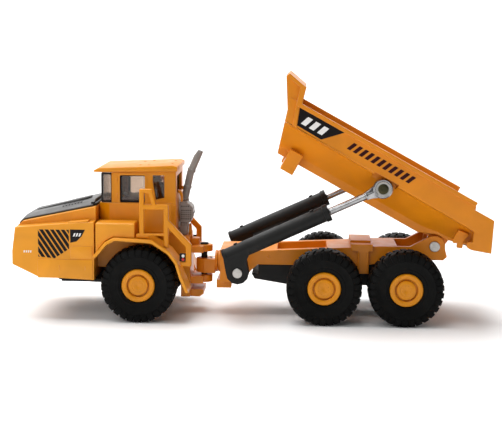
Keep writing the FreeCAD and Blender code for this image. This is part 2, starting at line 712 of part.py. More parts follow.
def make_cab_roof():
    """The roof, overhanging the pillars and drawn out over the windscreen."""
    body = new_body("cab_roof")
    outline = [(-13.8, 41.15), (-13.2, 40.84), ("cab_rear + 0.5", 41.25), ("cab_rear + 0.5", 42.6),
               ("cab_rear - 0.8", 43.0), (-12.2, 42.05)]
    pad(body, "XZ", [outline], "-roof_half", "roof_half")
    fillet(body, 0.6, lambda edge: edge.BoundBox.YLength < 1e-4 and edge.BoundBox.ZMin > 42.0
           and edge.BoundBox.XLength > 10)
    return body


def make_cab_glazing():
    """One smoked clear moulding inside the pillars: windscreen, side panes and rear pane."""
    body = new_body("cab_glazing")
    outer = box(-11.5, 8.5, "-pillar_half + 0.85", "pillar_half - 0.85")
    inner = box(-10.9, 7.9, "-pillar_half + 1.45", "pillar_half - 1.45")
    pad(body, "XY", [outer, inner], "cab_sill + 0.02", "cab_head + 0.1")
    return body


def make_seat():
    """The driver's seat: pedestal, cushion and back."""
    body = new_body("driver_seat")
    pad(body, "XZ", [box(0.5, 3.5, 25.2, 28.6)], -2, 2)
    pad(body, "XZ", [[(-1.2, 28.6), (4.6, 28.6), (5.6, 36.6), (4.0, 37.0), (3.0, 30.4), (-1.2, 30.2)]],
        -2.8, 2.8)
    return body


def make_dashboard():
    """The dashboard across the front of the cab."""
    body = new_body("dashboard")
    pad(body, "XZ", [[(-10.6, 25.2), (-8.0, 25.2), (-7.4, 31.4), (-8.2, 32.4), (-10.6, 32.4)]],
        -7.2, 7.2)
    return body


def make_steering_wheel():
    """The steering wheel on its column: a turned ring, leaned towards the seat."""
    column = DOC.addObject("Part::Cylinder", "steering_column")
    column.Radius = 0.45
    column.Height = 3.4
    ring = DOC.addObject("Part::Torus", "steering_ring")
    ring.Radius1 = 1.7
    ring.Radius2 = 0.35
    ring.Placement = FreeCAD.Placement(V(0, 0, 3.3), FreeCAD.Rotation())
    spoke = DOC.addObject("Part::Box", "steering_spoke")
    spoke.Length = 0.8
    spoke.Width = 3.4
    spoke.Height = 0.5
    spoke.Placement = FreeCAD.Placement(V(-0.4, -1.7, 3.05), FreeCAD.Rotation())
    wheel = DOC.addObject("Part::MultiFuse", "steering_wheel")
    wheel.Shapes = [column, ring, spoke]
    wheel.Label = "steering_wheel"
    place(wheel, -6.9, 0, 30.0, 35)
    return wheel


def make_battery_box(label, side):
    """The box on top of the wheel arch beside the cab, its underside following the arch."""
    body = new_body(label)
    outline = [(-11.9, "ledge_z - 0.4"), (-11.9, 19.25), (-9.3, 22.5), (-6.9, 23.8), (-1.1, 23.55),
               (-1.1, "ledge_z - 0.4")]
    low, high = both_sides("cab_half + 0.4", "skirt_half + 0.4")[0 if side < 0 else 1]
    pad(body, "XZ", [outline], low, high)
    fillet(body, 0.7, lambda edge: runs_along(edge, 0) and edge.BoundBox.ZMin > 27)
    return body


def make_rail(label, side):
    """The flat moulded handrail with its brace down to the rear of the wheel arch."""
    body = new_body(label)
    outer = [(-0.7, 23.55), (-0.7, 24.7), (0.2, 24.7), (0.2, 37.1), (3.7, 37.1), (4.8, 32.8),
             (7.9, 32.8), (8.2, 32.4), (8.2, 28.6), (14.6, 21.9), (14.6, 15.8), (11.7, 15.8),
             (11.45, 17.0), (13.0, 17.0), (13.0, 21.2), (8.2, 26.3), (8.2, 20.7), (6.9, 21.5),
             (6.9, 24.2), (2.9, 24.2), (2.9, 23.55)]
    upper = [(1.5, 32.8), (1.5, 36.0), (2.8, 36.0), (3.6, 32.8)]
    lower = [(1.5, 24.8), (1.5, 31.5), (6.9, 31.5), (6.9, 24.8)]
    low, high = both_sides("rail_y - rail_gauge / 2", "rail_y + rail_gauge / 2")[0 if side < 0 else 1]
    pad(body, "XZ", [outer, upper, lower], low, high)
    return body


def make_muffler():
    """The guarded muffler behind the cab, with the flange that holds the stack."""
    body = new_body("muffler")
    outline = [(9.9, 22.3), (12.0, 22.3), (12.2, 25.5), (13.2, 26.3), (13.8, 28.2), (13.6, 30.2),
               (12.6, 31.3), (12.1, 31.3), (12.1, 32.0), (9.9, 32.0)]
    pad(body, "XZ", [outline], -3, 3)
    return body


def make_exhaust_stack():
    """The bent stack: two leaning pipes, a ball at the bend, and a tip cut on the slant."""
    spots = [V(11.0, 0, 32.0), V(12.7, 0, 40.0), V(15.4, 0, 46.4)]
    pieces = []
    for index in range(2):
        run = spots[index + 1] - spots[index]
        pipe = DOC.addObject("Part::Cylinder", f"stack_pipe_{index + 1}")
        pipe.Radius = 1.05
        pipe.Height = run.Length
        pipe.Placement = FreeCAD.Placement(spots[index], FreeCAD.Rotation(V(0, 0, 1), run))
        pieces.append(pipe)
    bend = DOC.addObject("Part::Sphere", "stack_bend")
    bend.Radius = 1.05
    bend.Placement = FreeCAD.Placement(spots[1], FreeCAD.Rotation())
    pipes = DOC.addObject("Part::MultiFuse", "stack_pipes")
    pipes.Shapes = pieces + [bend]
    knife = DOC.addObject("Part::Box", "stack_knife")
    knife.Length = 8
    knife.Width = 8
    knife.Height = 8
    knife.Placement = FreeCAD.Placement(V(12.3, -4, 43.2), FreeCAD.Rotation(V(0, 1, 0), -52))
    foot = DOC.addObject("Part::Box", "stack_foot")
    foot.Length = 8
    foot.Width = 8
    foot.Height = 4
    foot.Placement = FreeCAD.Placement(V(7, -4, 28.0), FreeCAD.Rotation())
    tip = DOC.addObject("Part::Cut", "stack_tip")
    tip.Base = pipes
    tip.Tool = knife
    stack = DOC.addObject("Part::Cut", "exhaust_stack")
    stack.Base = tip
    stack.Tool = foot
    stack.Label = "exhaust_stack"
    place(stack, 0, 0, 0)
    return stack


def make_grab_loop():
    """The two small curved handles on the back of the cab, separate solids under one name."""
    body = new_body("rear_grab_loop")
    outline = [(9.52, 34.9), (9.52, 35.7), (10.5, 35.3), (11.0, 34.2), (11.0, 32.2), (10.3, 32.2),
               (10.3, 33.9), (10.0, 34.6)]
    for low, high in both_sides(4.4, 5.6):
        pad(body, "XZ", [outline], low, high)
    return body


def make_screws(label, stations, face):
    """Slotted screw heads under a base plate, one separate solid each."""
    body = new_body(label)
    for station in stations:
        pad(body, "XY", [(station, 0, 1.4)], f"{face} - 0.6", face)
        pocket(body, "XY", [box(station - 1.5, station + 1.5, -0.15, 0.15)], f"{face} - 0.9",
               f"{face} - 0.35")
    return body


# ---------------------------------------------------------------- the whole toy

def make_axle_set(name, station):
    """An axle with its two rims and two tyres."""
    pieces = [make_axle(f"{name}_axle", station)]
    for side_name, side in SIDES:
        pieces.append(make_rim(f"{name}_{side_name}_rim", station, side))
        pieces.append(make_tyre(f"{name}_{side_name}_tyre", station, side))
    return pieces


def make_all():
    """Every sub-part of the toy."""
    pieces = [make_rear_frame(), make_bogie_bridge(), make_rear_underbody()]
    pieces.append(make_cross_pin("bed_hinge_pin", "hinge_station", "hinge_height",
                                 "hinge_pin_radius", "frame_half + 0.05", 1.5, 0.5))
    pieces.append(make_cross_pin("lift_base_pin", "lift_base_station", "lift_base_height",
                                 1.0, "lift_y + 2.15", 1.33, 0.4))
    pieces.append(make_bed())
    for side_name, side in SIDES:
        pieces.append(make_rod_pin(f"{side_name}_rod_pin", side))
        pieces.append(make_barrel(f"{side_name}_barrel", side))
        pieces.append(make_rod(f"{side_name}_rod", side))
        pieces.append(make_battery_box(f"{side_name}_battery_box", side))
        pieces.append(make_rail(f"{side_name}_rail", side))
    pieces += [make_hitch_tongue(), make_roll_pin(), make_hitch_pin()]
    pieces += [make_front_frame(), make_front_base(), make_front_body(), make_hood_panel()]
    pieces += [make_cab_body(), make_cab_roof(), make_cab_glazing(), make_seat()]
    pieces += [make_dashboard(), make_steering_wheel(), make_muffler(), make_exhaust_stack()]
    pieces += [make_grab_loop(), make_screws("front_base_screws", (-18, 5), 9.0)]
    pieces.append(make_screws("rear_base_screws", (42, 62), 9.4))
    for name, station in (("front", 0), ("mid", "mid_station"), ("rear", "rear_station")):
        pieces += make_axle_set(name, station)
    return pieces


def check(pieces):
    """Stop if any object failed to compute or any sub-part's shape is empty or invalid."""
    for item in DOC.Objects:
        if "Invalid" in item.State or "Error" in item.State:
            raise ValueError(f"{item.Label} did not compute: {item.State}")
    for piece in pieces:
        if piece.Shape.isNull() or not piece.Shape.isValid():
            raise ValueError(f"{piece.Label} has no valid shape")


def write(pieces):
    """Write each sub-part to parts/, and print its volume and the size of the whole."""
    os.makedirs("parts", exist_ok=True)
    whole = FreeCAD.BoundBox()
    for piece in pieces:
        piece.Shape.exportStep(f"parts/{piece.Label}.step")
        whole.add(piece.Shape.BoundBox)
        print(f"{piece.Label:20s} {piece.Shape.Volume:9.1f} mm3, {len(piece.Shape.Solids)} solid")
    print(whole)


fill_sheet()
PIECES = make_all()
DOC.recompute()
check(PIECES)
write(PIECES)
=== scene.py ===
"""Toy articulated dump truck: soft edges, moulded detail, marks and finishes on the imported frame.

Drawing units are millimetres.  A place on the truck is (station, y, z), with the station measured
from the front axle.  The bed is drawn lowered, about its hinge, and each lift cylinder along its
own axis from its base pin, as they are in the model.
"""

import json
import math

import bmesh
import bpy
from mathutils import Matrix, Vector

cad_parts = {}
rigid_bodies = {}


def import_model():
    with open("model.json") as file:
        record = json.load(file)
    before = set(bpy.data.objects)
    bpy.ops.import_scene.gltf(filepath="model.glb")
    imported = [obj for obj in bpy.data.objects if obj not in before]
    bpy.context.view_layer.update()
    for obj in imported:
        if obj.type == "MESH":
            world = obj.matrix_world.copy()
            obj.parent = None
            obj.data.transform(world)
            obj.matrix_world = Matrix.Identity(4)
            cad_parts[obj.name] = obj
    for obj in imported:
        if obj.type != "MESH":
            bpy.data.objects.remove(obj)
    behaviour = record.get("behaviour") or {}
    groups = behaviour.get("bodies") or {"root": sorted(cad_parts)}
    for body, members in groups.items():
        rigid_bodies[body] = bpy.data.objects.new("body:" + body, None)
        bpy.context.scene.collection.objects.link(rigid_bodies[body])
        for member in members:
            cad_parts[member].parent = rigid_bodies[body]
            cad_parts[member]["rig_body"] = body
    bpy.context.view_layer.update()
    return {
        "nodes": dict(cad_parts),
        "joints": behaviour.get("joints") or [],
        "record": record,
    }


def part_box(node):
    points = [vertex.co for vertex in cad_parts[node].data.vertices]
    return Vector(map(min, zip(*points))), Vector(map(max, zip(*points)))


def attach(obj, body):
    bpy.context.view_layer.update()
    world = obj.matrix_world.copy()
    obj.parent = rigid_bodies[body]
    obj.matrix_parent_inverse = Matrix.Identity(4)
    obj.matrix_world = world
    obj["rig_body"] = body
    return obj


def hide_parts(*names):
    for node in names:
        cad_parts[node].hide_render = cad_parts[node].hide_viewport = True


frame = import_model()
for packed in list(bpy.data.materials):
    bpy.data.materials.remove(packed)

MM = 0.001
SIDES = (("left", -1), ("right", 1))
JOINTS = {joint["name"]: joint for joint in frame["joints"]}


# ---------------------------------------------------------------- places, from the frame

def extent(node):
    """The middle of a CAD node's box, and its half sizes in millimetres."""
    low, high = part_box(node)
    return (low + high) / 2, (high - low) / 2 / MM


def in_mm(point):
    """A drawing space whose origin is at a point of the frame."""
    return Matrix.Translation(point) @ Matrix.Scale(MM, 4)


TRUCK = in_mm(Vector((extent("front_axle")[0].x, 0, 0)))
BED_LOWERED = -math.radians(JOINTS["bed_tip"]["range_deg"][0])
BED = in_mm(Vector(JOINTS["bed_tip"]["pos_m"])) @ Matrix.Rotation(BED_LOWERED, 4, "Y")


def cylinder_space(side_name):
    """Along a lift cylinder: x runs up the barrel from its base pin."""
    along = Vector(JOINTS[f"{side_name}_rod_slide"]["axis"])
    turn = Matrix.Rotation(-math.atan2(along.z, along.x), 4, "Y")
    return in_mm(Vector(JOINTS[f"{side_name}_barrel_swing"]["pos_m"])) @ turn


# ---------------------------------------------------------------- finishes

class Shader:
    """A Principled material with noise-driven colour, roughness and bump."""

    def __init__(self, name, roughness, **constants):
        self.material = bpy.data.materials.new(name)
        self.material.use_nodes = True
        self.tree = self.material.node_tree
        self.principled = self.tree.nodes["Principled BSDF"]
        self.coordinates = self.tree.nodes.new("ShaderNodeTexCoord").outputs["Object"]
        self.principled.inputs["Roughness"].default_value = roughness
        for socket, number in constants.items():
            self.principled.inputs[socket.replace("_", " ")].default_value = number

    def stretched(self, x, y, z):
        """The object coordinates, scaled apart along the three axes."""
        mapping = self.tree.nodes.new("ShaderNodeMapping")
        mapping.inputs["Scale"].default_value = (x, y, z)
        self.tree.links.new(self.coordinates, mapping.inputs["Vector"])
        return mapping.outputs["Vector"]

    def noise(self, size, detail, distortion=0.0, coordinates=None):
        """Noise whose lumps are about the given size, in millimetres."""
        node = self.tree.nodes.new("ShaderNodeTexNoise")
        node.inputs["Scale"].default_value = 1 / (size * MM)
        node.inputs["Detail"].default_value = detail
        node.inputs["Distortion"].default_value = distortion
        self.tree.links.new(coordinates or self.coordinates, node.inputs["Vector"])
        return node.outputs["Fac"]

    def spread(self, source, low, high, start=0.3, end=0.7):
        """A value spread over a range."""
        node = self.tree.nodes.new("ShaderNodeMapRange")
        node.inputs["From Min"].default_value = start
        node.inputs["From Max"].default_value = end
        node.inputs["To Min"].default_value = low
        node.inputs["To Max"].default_value = high
        self.tree.links.new(source, node.inputs["Value"])
        return node.outputs["Result"]

    def mix(self, factor, first, second):
        """One colour turning into another; each is a colour or an earlier mix."""
        node = self.tree.nodes.new("ShaderNodeMix")
        node.data_type = "RGBA"
        self.tree.links.new(factor, node.inputs["Factor"])
        for socket, colour in (("A", first), ("B", second)):
            target = next(item for item in node.inputs
                          if item.name == socket and item.type == "RGBA")
            if isinstance(colour, tuple):
                target.default_value = (*colour, 1)
            else:
                self.tree.links.new(colour, target)
        return next(item for item in node.outputs if item.type == "RGBA")

    def colour(self, source):
        self.tree.links.new(source, self.principled.inputs["Base Color"])

    def roughness(self, source):
        self.tree.links.new(source, self.principled.inputs["Roughness"])

    def bump(self, source, height, strength):
        """Relief of about the given height, in millimetres."""
        node = self.tree.nodes.new("ShaderNodeBump")
        node.inputs["Distance"].default_value = height * MM
        node.inputs["Strength"].default_value = strength
        self.tree.links.new(source, node.inputs["Height"])
        self.tree.links.new(node.outputs["Normal"], self.principled.inputs["Normal"])


def scaled(colour, amount):
    return tuple(min(1.0, part * amount) for part in colour)


WEAR_RADIUS = 0.22


def edge_mask(shader):
    """1 beside worn edges, broken up by noise: where a rounded normal leaves the true one."""
    geometry = shader.tree.nodes.new("ShaderNodeNewGeometry")
    rounding = shader.tree.nodes.new("ShaderNodeBevel")
    rounding.samples = 4
    rounding.inputs["Radius"].default_value = WEAR_RADIUS * MM
    turned = shader.tree.nodes.new("ShaderNodeVectorMath")
    turned.operation = "DOT_PRODUCT"
    shader.tree.links.new(geometry.outputs["Normal"], turned.inputs[0])
    shader.tree.links.new(rounding.outputs["Normal"], turned.inputs[1])
    edges = shader.spread(turned.outputs["Value"], 1, 0, 0.86, 0.985)
    broken = shader.spread(shader.noise(1.6, 4.0), 0.15, 1.0, 0.4, 0.65)
    product = shader.tree.nodes.new("ShaderNodeMath")
    product.operation = "MULTIPLY"
    product.use_clamp = True
    shader.tree.links.new(edges, product.inputs[0])
    shader.tree.links.new(broken, product.inputs[1])
    return product.outputs[0]


def painted(name, colour):
    """Paint over a casting: orange peel, faint blotches, thinner and lighter on the edges."""
    shader = Shader(name, 0.36, IOR=1.45, Specular_IOR_Level=0.36)
    blotches = shader.spread(shader.noise(9, 4.0, 0.6), 0, 1)
    base = shader.mix(blotches, scaled(colour, 0.9), scaled(colour, 1.07))
    shader.colour(shader.mix(edge_mask(shader), base, tuple(0.85 * c + 0.09 for c in colour)))
    shader.roughness(shader.spread(shader.noise(3.5, 5.0), 0.3, 0.46))
    shader.bump(shader.noise(0.55, 2.0), 0.012, 0.55)
    return shader.material


def moulded(name, colour, roughness, grain=0.3, depth=0.006, contrast=0.06, **constants):
    """Moulded plastic: even colour with slight flow marks and a fine grain."""
    shader = Shader(name, roughness, IOR=1.48, **constants)
    flow = shader.spread(shader.noise(7, 3.0, 1.2, shader.stretched(1, 1, 0.45)), 0, 1)
    base = shader.mix(flow, scaled(colour, 1 - contrast), scaled(colour, 1 + contrast))
    shader.colour(shader.mix(edge_mask(shader), base, tuple(0.9 * c + 0.035 for c in colour)))
    shader.roughness(shader.spread(shader.noise(2.6, 5.0), roughness - 0.05, roughness + 0.09))
    shader.bump(shader.noise(grain, 2.0), depth, 0.6)
    return shader.material


def metal(name, colour, roughness, stretch, depth=0.003):
    """Bare metal with fine machining marks along the stretched axes and a few dull spots."""
    shader = Shader(name, roughness, Metallic=1.0)
    marks = shader.noise(0.22, 4.0, 0.0, shader.stretched(*stretch))
    dull = shader.spread(shader.noise(1.4, 5.0, 0.5), 0, 1, 0.45, 0.75)
    shader.colour(shader.mix(dull, scaled(colour, 1.05), scaled(colour, 0.7)))
    shader.roughness(shader.spread(marks, roughness - 0.07, roughness + 0.14))
    shader.bump(marks, depth, 0.5)
    return shader.material


def rubbery(name, colour):
    """Moulded tyre: dull black with a dusty bloom and a fine grain."""
    shader = Shader(name, 0.6, IOR=1.45, Specular_IOR_Level=0.1)
    bloom = shader.spread(shader.noise(5, 5.0, 0.8), 0, 1, 0.4, 0.75)
    shader.colour(shader.mix(bloom, colour, scaled(colour, 1.7)))
    shader.roughness(shader.spread(shader.noise(1.5, 5.0), 0.5, 0.7))
    shader.bump(shader.noise(0.25, 3.0), 0.012, 0.6)
    return shader.material


def clear(name, colour, roughness=0.06):
    """Clear plastic with a tint, slight ripple and faint scuffs."""
    shader = Shader(name, roughness, Transmission_Weight=1.0, IOR=1.42)
    tint = shader.spread(shader.noise(8, 2.0), 0, 1)
    shader.colour(shader.mix(tint, scaled(colour, 0.97), scaled(colour, 1.03)))
    shader.roughness(shader.spread(shader.noise(1.2, 5.0), roughness - 0.03, roughness + 0.08))
    shader.bump(shader.noise(3.0, 1.0), 0.01, 0.3)
    return shader.material


ORANGE = painted("cast_orange", (0.69, 0.225, 0.005))
ORANGE_FRONT = painted("cast_orange_front", (0.74, 0.29, 0.012))
YELLOW = moulded("plastic_yellow", (0.67, 0.24, 0.001), 0.36, Specular_IOR_Level=0.34)
BLACK = moulded("plastic_black", (0.007, 0.007, 0.0065), 0.48, grain=0.35, depth=0.012,
                contrast=0.2, Specular_IOR_Level=0.22)
GREY = moulded("plastic_grey", (0.27, 0.25, 0.23), 0.4, grain=0.4, depth=0.012, contrast=0.14)
GREY_DARK = moulded("bonnet_grey", (0.034, 0.032, 0.03), 0.38, grain=0.4, depth=0.012,
                    contrast=0.14)
STEEL = metal("steel", (0.45, 0.435, 0.41), 0.34, (1, 3, 1))
CHROME = metal("rod_chrome", (0.36, 0.36, 0.365), 0.2, (0.2, 4, 4), 0.002)
OLIVE = metal("pin_olive", (0.06, 0.056, 0.03), 0.45, (2, 1, 2), 0.004)
RUBBER = rubbery("tyre_black", (0.0038, 0.0038, 0.0036))
GLASS = clear("glass_smoke", (0.57, 0.48, 0.41))
INTERIOR = moulded("interior_brown", (0.15, 0.058, 0.02), 0.5, grain=0.5, depth=0.02, contrast=0.15)
# black for marks and small trim, and also painted shade in the stack mouth, the bonnet's louvre
# slots and the muffler guard's holes
BLACK_MARKS_TRIM_AND_SHADE = moulded("black_marks_trim_and_shade", (0.006, 0.0042, 0.0042), 0.34, contrast=0.1,
                    Specular_IOR_Level=0.16)
MARK_WHITE = moulded("mark_white", (0.8, 0.79, 0.77), 0.4, contrast=0.03)
MARK_RED = moulded("mark_red", (0.03, 0.002, 0.003), 0.4, contrast=0.15, Specular_IOR_Level=0.15)
LENS = clear("lamp_clear", (0.95, 0.95, 0.93), 0.1)
LENS_RED = moulded("lamp_red", (0.55, 0.012, 0.008), 0.2, contrast=0.1)
FINISH = {item.name: item for item in (ORANGE, YELLOW, BLACK, GREY, STEEL, CHROME, OLIVE, RUBBER,
                                       GLASS, INTERIOR)}
SLOT_OF = {row["node"]: row["material_slot"] for row in frame["record"]["subparts"]}


# ---------------------------------------------------------------- mesh building

BEVEL_ANGLE = 25


def new_piece(name, mesh, finish, body, replaced, crease):
    """An object for a mesh in the frame's own metres, riding on a body."""
    for polygon in mesh.polygons:
        polygon.use_smooth = True
    mesh.set_sharp_from_angle(angle=math.radians(crease))
    mesh.materials.append(finish)
    piece = bpy.data.objects.new(name, mesh)
    bpy.context.scene.collection.objects.link(piece)
    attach(piece, body)
    if replaced:
        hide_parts(*replaced)
    return piece


def built(name, bm, space, finish, body, replaced=(), crease=32):
    """A piece from a bmesh drawn in one of the drawing spaces, which is used up."""
    bmesh.ops.recalc_face_normals(bm, faces=bm.faces)
    mesh = bpy.data.meshes.new(name)
    bm.to_mesh(mesh)
    bm.free()
    mesh.transform(space)
    new_piece(name, mesh, finish, body, replaced, crease)


def on_front(name, bm, finish, replaced=(), crease=32):
    """A piece of the front unit, drawn on the truck."""
    built(name, bm, TRUCK, finish, "front_unit", replaced, crease)


def bevelled(bm, faces, width):
    """Round every edge of the given faces that turns sharply."""
    edges = {edge for face in faces for edge in face.edges
             if edge.is_manifold and edge.calc_face_angle(0) > math.radians(BEVEL_ANGLE)}
    bmesh.ops.bevel(bm, geom=list(edges), offset=width, offset_type="OFFSET", segments=2,
                    profile=0.5, affect="EDGES", clamp_overlap=True)


def prism(bm, outline, low, high, bevel=0.0, place=Matrix.Identity(4)):
    """An (x, z) outline drawn out along Y from low to high."""
    near = [bm.verts.new(place @ Vector((x, low, z))) for x, z in outline]
    far = [bm.verts.new(place @ Vector((x, high, z))) for x, z in outline]
    count = len(outline)
    faces = [bm.faces.new(near), bm.faces.new(list(reversed(far)))]
    for index in range(count):
        after = (index + 1) % count
        faces.append(bm.faces.new((near[index], far[index], far[after], near[after])))
    bm.normal_update()
    if bevel:
        bmesh.ops.recalc_face_normals(bm, faces=faces)
        bevelled(bm, faces, bevel)


def block(bm, low, high, bevel=0.0, place=Matrix.Identity(4)):
    """A box between two corners."""
    outline = [(low[0], low[2]), (high[0], low[2]), (high[0], high[2]), (low[0], high[2])]
    prism(bm, outline, low[1], high[1], bevel, place)


def lathe(bm, profile, centre=(0, 0, 0), turn=Matrix.Identity(4), sides=48):
    """A (y, radius) profile turned about Y; zero radii close it on the axis."""
    place = Matrix.Translation(centre) @ turn
    rings = []
    for along, radius in profile:
        ring = []
        for step in range(sides if radius else 1):
            angle = 2 * math.pi * step / sides
            spot = Vector((radius * math.cos(angle), along, radius * math.sin(angle)))
            ring.append(bm.verts.new(place @ spot))
        rings.append(ring)
    for first, second in zip(rings, rings[1:]):
        for step in range(sides):
            after = (step + 1) % sides
            corners = [first[step % len(first)], first[after % len(first)],
                       second[after % len(second)], second[step % len(second)]]
            bm.faces.new(list(dict.fromkeys(corners)))


REARWARD = Matrix.Rotation(-math.pi / 2, 4, "Z")
FORWARD = Matrix.Rotation(math.pi / 2, 4, "Z")
UPWARD = Matrix.Rotation(math.pi / 2, 4, "X")
ROOT = 0.2


def button(bm, centre, radius, height, turn, sides):
    """A low round boss with a rounded rim, standing out along the turned Y axis."""
    rim = min(0.3 * radius, 0.5 * height)
    profile = [(-ROOT, 0), (-ROOT, radius), (height - rim, radius),
               (height - 0.3 * rim, radius - 0.3 * rim), (height, radius - rim), (height, 0)]
    lathe(bm, profile, centre, turn, sides)


def facing(side):
    """The turn that makes a boss stand out to one side of the truck."""
    return Matrix.Rotation(math.pi, 4, "X") if side < 0 else Matrix.Identity(4)


def clipped(polygon, window):
    """The part of a polygon inside a convex window, both anticlockwise (x, z) lists."""
    for (ax, az), (bx, bz) in zip(window, window[1:] + window[:1]):
        def depth(point):
            return (bx - ax) * (point[1] - az) - (bz - az) * (point[0] - ax)
        kept = []
        for first, second in zip(polygon, polygon[1:] + polygon[:1]):
            if depth(first) >= 0:
                kept.append(first)
            if (depth(first) >= 0) != (depth(second) >= 0):
                share = depth(first) / (depth(first) - depth(second))
                kept.append(tuple(a + share * (b - a) for a, b in zip(first, second)))
        polygon = kept
        if len(polygon) < 3:
            return []
    return polygon


# ---------------------------------------------------------------- softened CAD pieces

WELD_GAP = 0.03
FLAT_ANGLE = 0.8
SHARP_ANGLE = 26
ROOM_SHARE = 0.4
SOFT_WIDTHS = {"dump_bed": 0.2, "rear_frame": 0.16, "front_frame": 0.1,
               "cab_body": 0.16, "left_rail": 0.28, "right_rail": 0.28, "exhaust_stack": 0.12,
               "rear_underbody": 0.16, "front_base": 0.16, "bogie_bridge": 0.16,
               "hitch_tongue": 0.16, "left_barrel": 0.16, "right_barrel": 0.16}
CLAMPED_WIDTHS = {"muffler": 0.3, "rear_grab_loop": 0.2, "driver_seat": 0.35, "dashboard": 0.35,
                  "bed_hinge_pin": 0.16, "lift_base_pin": 0.12, "hitch_pin": 0.15}


def side_room(edge):
    """The smallest clear width beside an edge, where its neighbours leave it."""
    room = 1.0
    for vert in edge.verts:
        own = edge.other_vert(vert).co - vert.co
        for other in vert.link_edges:
            if other is not edge:
                reach = other.other_vert(vert).co - vert.co
                slant = math.sin(reach.angle(own, 0))
                if slant > 0.3:
                    room = min(room, reach.length * slant)
    return room


def softened(node, width, clamped=False, finish=None):
    """A copy of a CAD node with rounded edges, in the place of the node."""
    bm = bmesh.new()
    bm.from_mesh(frame["nodes"][node].data)
    bmesh.ops.remove_doubles(bm, verts=bm.verts, dist=WELD_GAP * MM)
    bmesh.ops.dissolve_limit(bm, angle_limit=math.radians(FLAT_ANGLE), verts=bm.verts,
                             edges=bm.edges, delimit=set())
    bmesh.ops.connect_verts_concave(bm, faces=bm.faces)
    weight = bm.edges.layers.float.new("bevel_weight_edge")
    for edge in bm.edges:
        if edge.is_manifold and edge.calc_face_angle(0) > math.radians(SHARP_ANGLE):
            room = 1.0 if clamped else ROOM_SHARE * side_room(edge) / (width * MM)
            edge[weight] = min(1.0, room)
    mesh = bpy.data.meshes.new(f"{node}_soft")
    bm.to_mesh(mesh)
    bm.free()
    body = frame["nodes"][node]["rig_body"]
    piece = new_piece(mesh.name, mesh, finish or FINISH[SLOT_OF[node]], body, (node,), crease=40)
    bevel = piece.modifiers.new("edges", "BEVEL")
    bevel.limit_method = "WEIGHT"
    bevel.width = width * MM
    bevel.segments = 2
    bevel.use_clamp_overlap = clamped
    normals = piece.modifiers.new("normals", "WEIGHTED_NORMAL")
    normals.keep_sharp = True


def soften_castings():
    """Round the edges of the castings and mouldings, and give every other node its finish."""
    for node, width in SOFT_WIDTHS.items():
        softened(node, width)
    for node, width in CLAMPED_WIDTHS.items():
        softened(node, width, clamped=True)
    softened("hood_panel", 0.22, clamped=True, finish=GREY_DARK)
    softened("front_body", 0.22, finish=ORANGE_FRONT)
    for side_name, _ in SIDES:
        softened(f"{side_name}_battery_box", 0.22, clamped=True, finish=ORANGE_FRONT)
    for node, cad in frame["nodes"].items():
        cad.data.materials.clear()
        cad.data.materials.append(FINISH[SLOT_OF[node]])


# ---------------------------------------------------------------- wheels

LUGS = 30
LUG_SHARE = 0.68
LUG_DEPTH = 0.75


def tyre_profile(half, radius, bead):
    """The carcass from one bead to the other: side wall with rings, shoulder, sunken tread."""
    quarter = [(half - 0.9, bead), (half - 0.55, bead + 0.3), (half - 0.4, bead + 0.75),
               (half - 0.28, bead + 0.8), (half - 0.2, bead + 1.15), (half - 0.26, bead + 1.3),
               (half - 0.12, bead + 2.2), (half - 0.08, radius - 2.7), (half, radius - 2.55),
               (half, radius - 2.35), (half - 0.12, radius - 2.2), (half - 0.42, radius - 1.15),
               (half - 0.85, radius - 0.6), (half - 1.5, radius - 0.44), (0, radius - 0.4)]
    return quarter + [(-y, r) for y, r in reversed(quarter[:-1])]


def tread_lug(bm, half, radius, side, angle, width):
    """A raised lug from the middle of the tread over the shoulder and down the side wall."""
    rows = ((-0.35, radius, 0.0), (1.2, radius, 0.035), (2.5, radius, 0.06),
            (half - 1.15, radius - 0.04, 0.075), (half - 0.5, radius - 0.4, 0.08),
            (half - 0.1, radius - 1.25, 0.08), (half - 0.02, radius - 2.15, 0.08))
    tops = []
    bases = []
    for across, reach, shift in rows:
        narrow = 0.72 if across < 0 else 1.0
        for verts, drop, share in ((tops, 0.0, 0.5), (bases, LUG_DEPTH, 0.58)):
            spread = width * narrow * share
            inward = 0.5 * drop if reach < radius - 0.3 else 0
            row = []
            for step in (-1, 0, 1):
                turn = angle + shift + step * spread
                far = reach - (drop if reach > radius - 1 else 0.3 * drop)
                row.append(bm.verts.new((far * math.cos(turn), side * (across - inward),
                                         far * math.sin(turn))))
            verts.append(row)
    for top, next_top, base, next_base in zip(tops, tops[1:], bases, bases[1:]):
        for step in range(2):
            bm.faces.new((top[step], top[step + 1], next_top[step + 1], next_top[step]))
        for step in (0, 2):
            bm.faces.new((top[step], next_top[step], next_base[step], base[step]))
    for top, base in ((tops[0], bases[0]), (tops[-1], bases[-1])):
        for step in range(2):
            bm.faces.new((top[step], top[step + 1], base[step + 1], base[step]))


def make_tyre(label, body):
    """A tyre with rings on its walls and staggered lugs on both shoulders."""
    centre, reach = extent(label)
    bead = extent(label.replace("tyre", "rim"))[1].z
    bm = bmesh.new()
    lathe(bm, tyre_profile(reach.y, reach.z, bead), sides=96)
    pitch = 2 * math.pi / LUGS
    for index in range(LUGS):
        for side, start in ((-1, 0.0), (1, 0.5)):
            tread_lug(bm, reach.y, reach.z, side, (index + start) * pitch, LUG_SHARE * pitch)
    built(f"{label}_treaded", bm, in_mm(centre), RUBBER, body, (label,), crease=28)


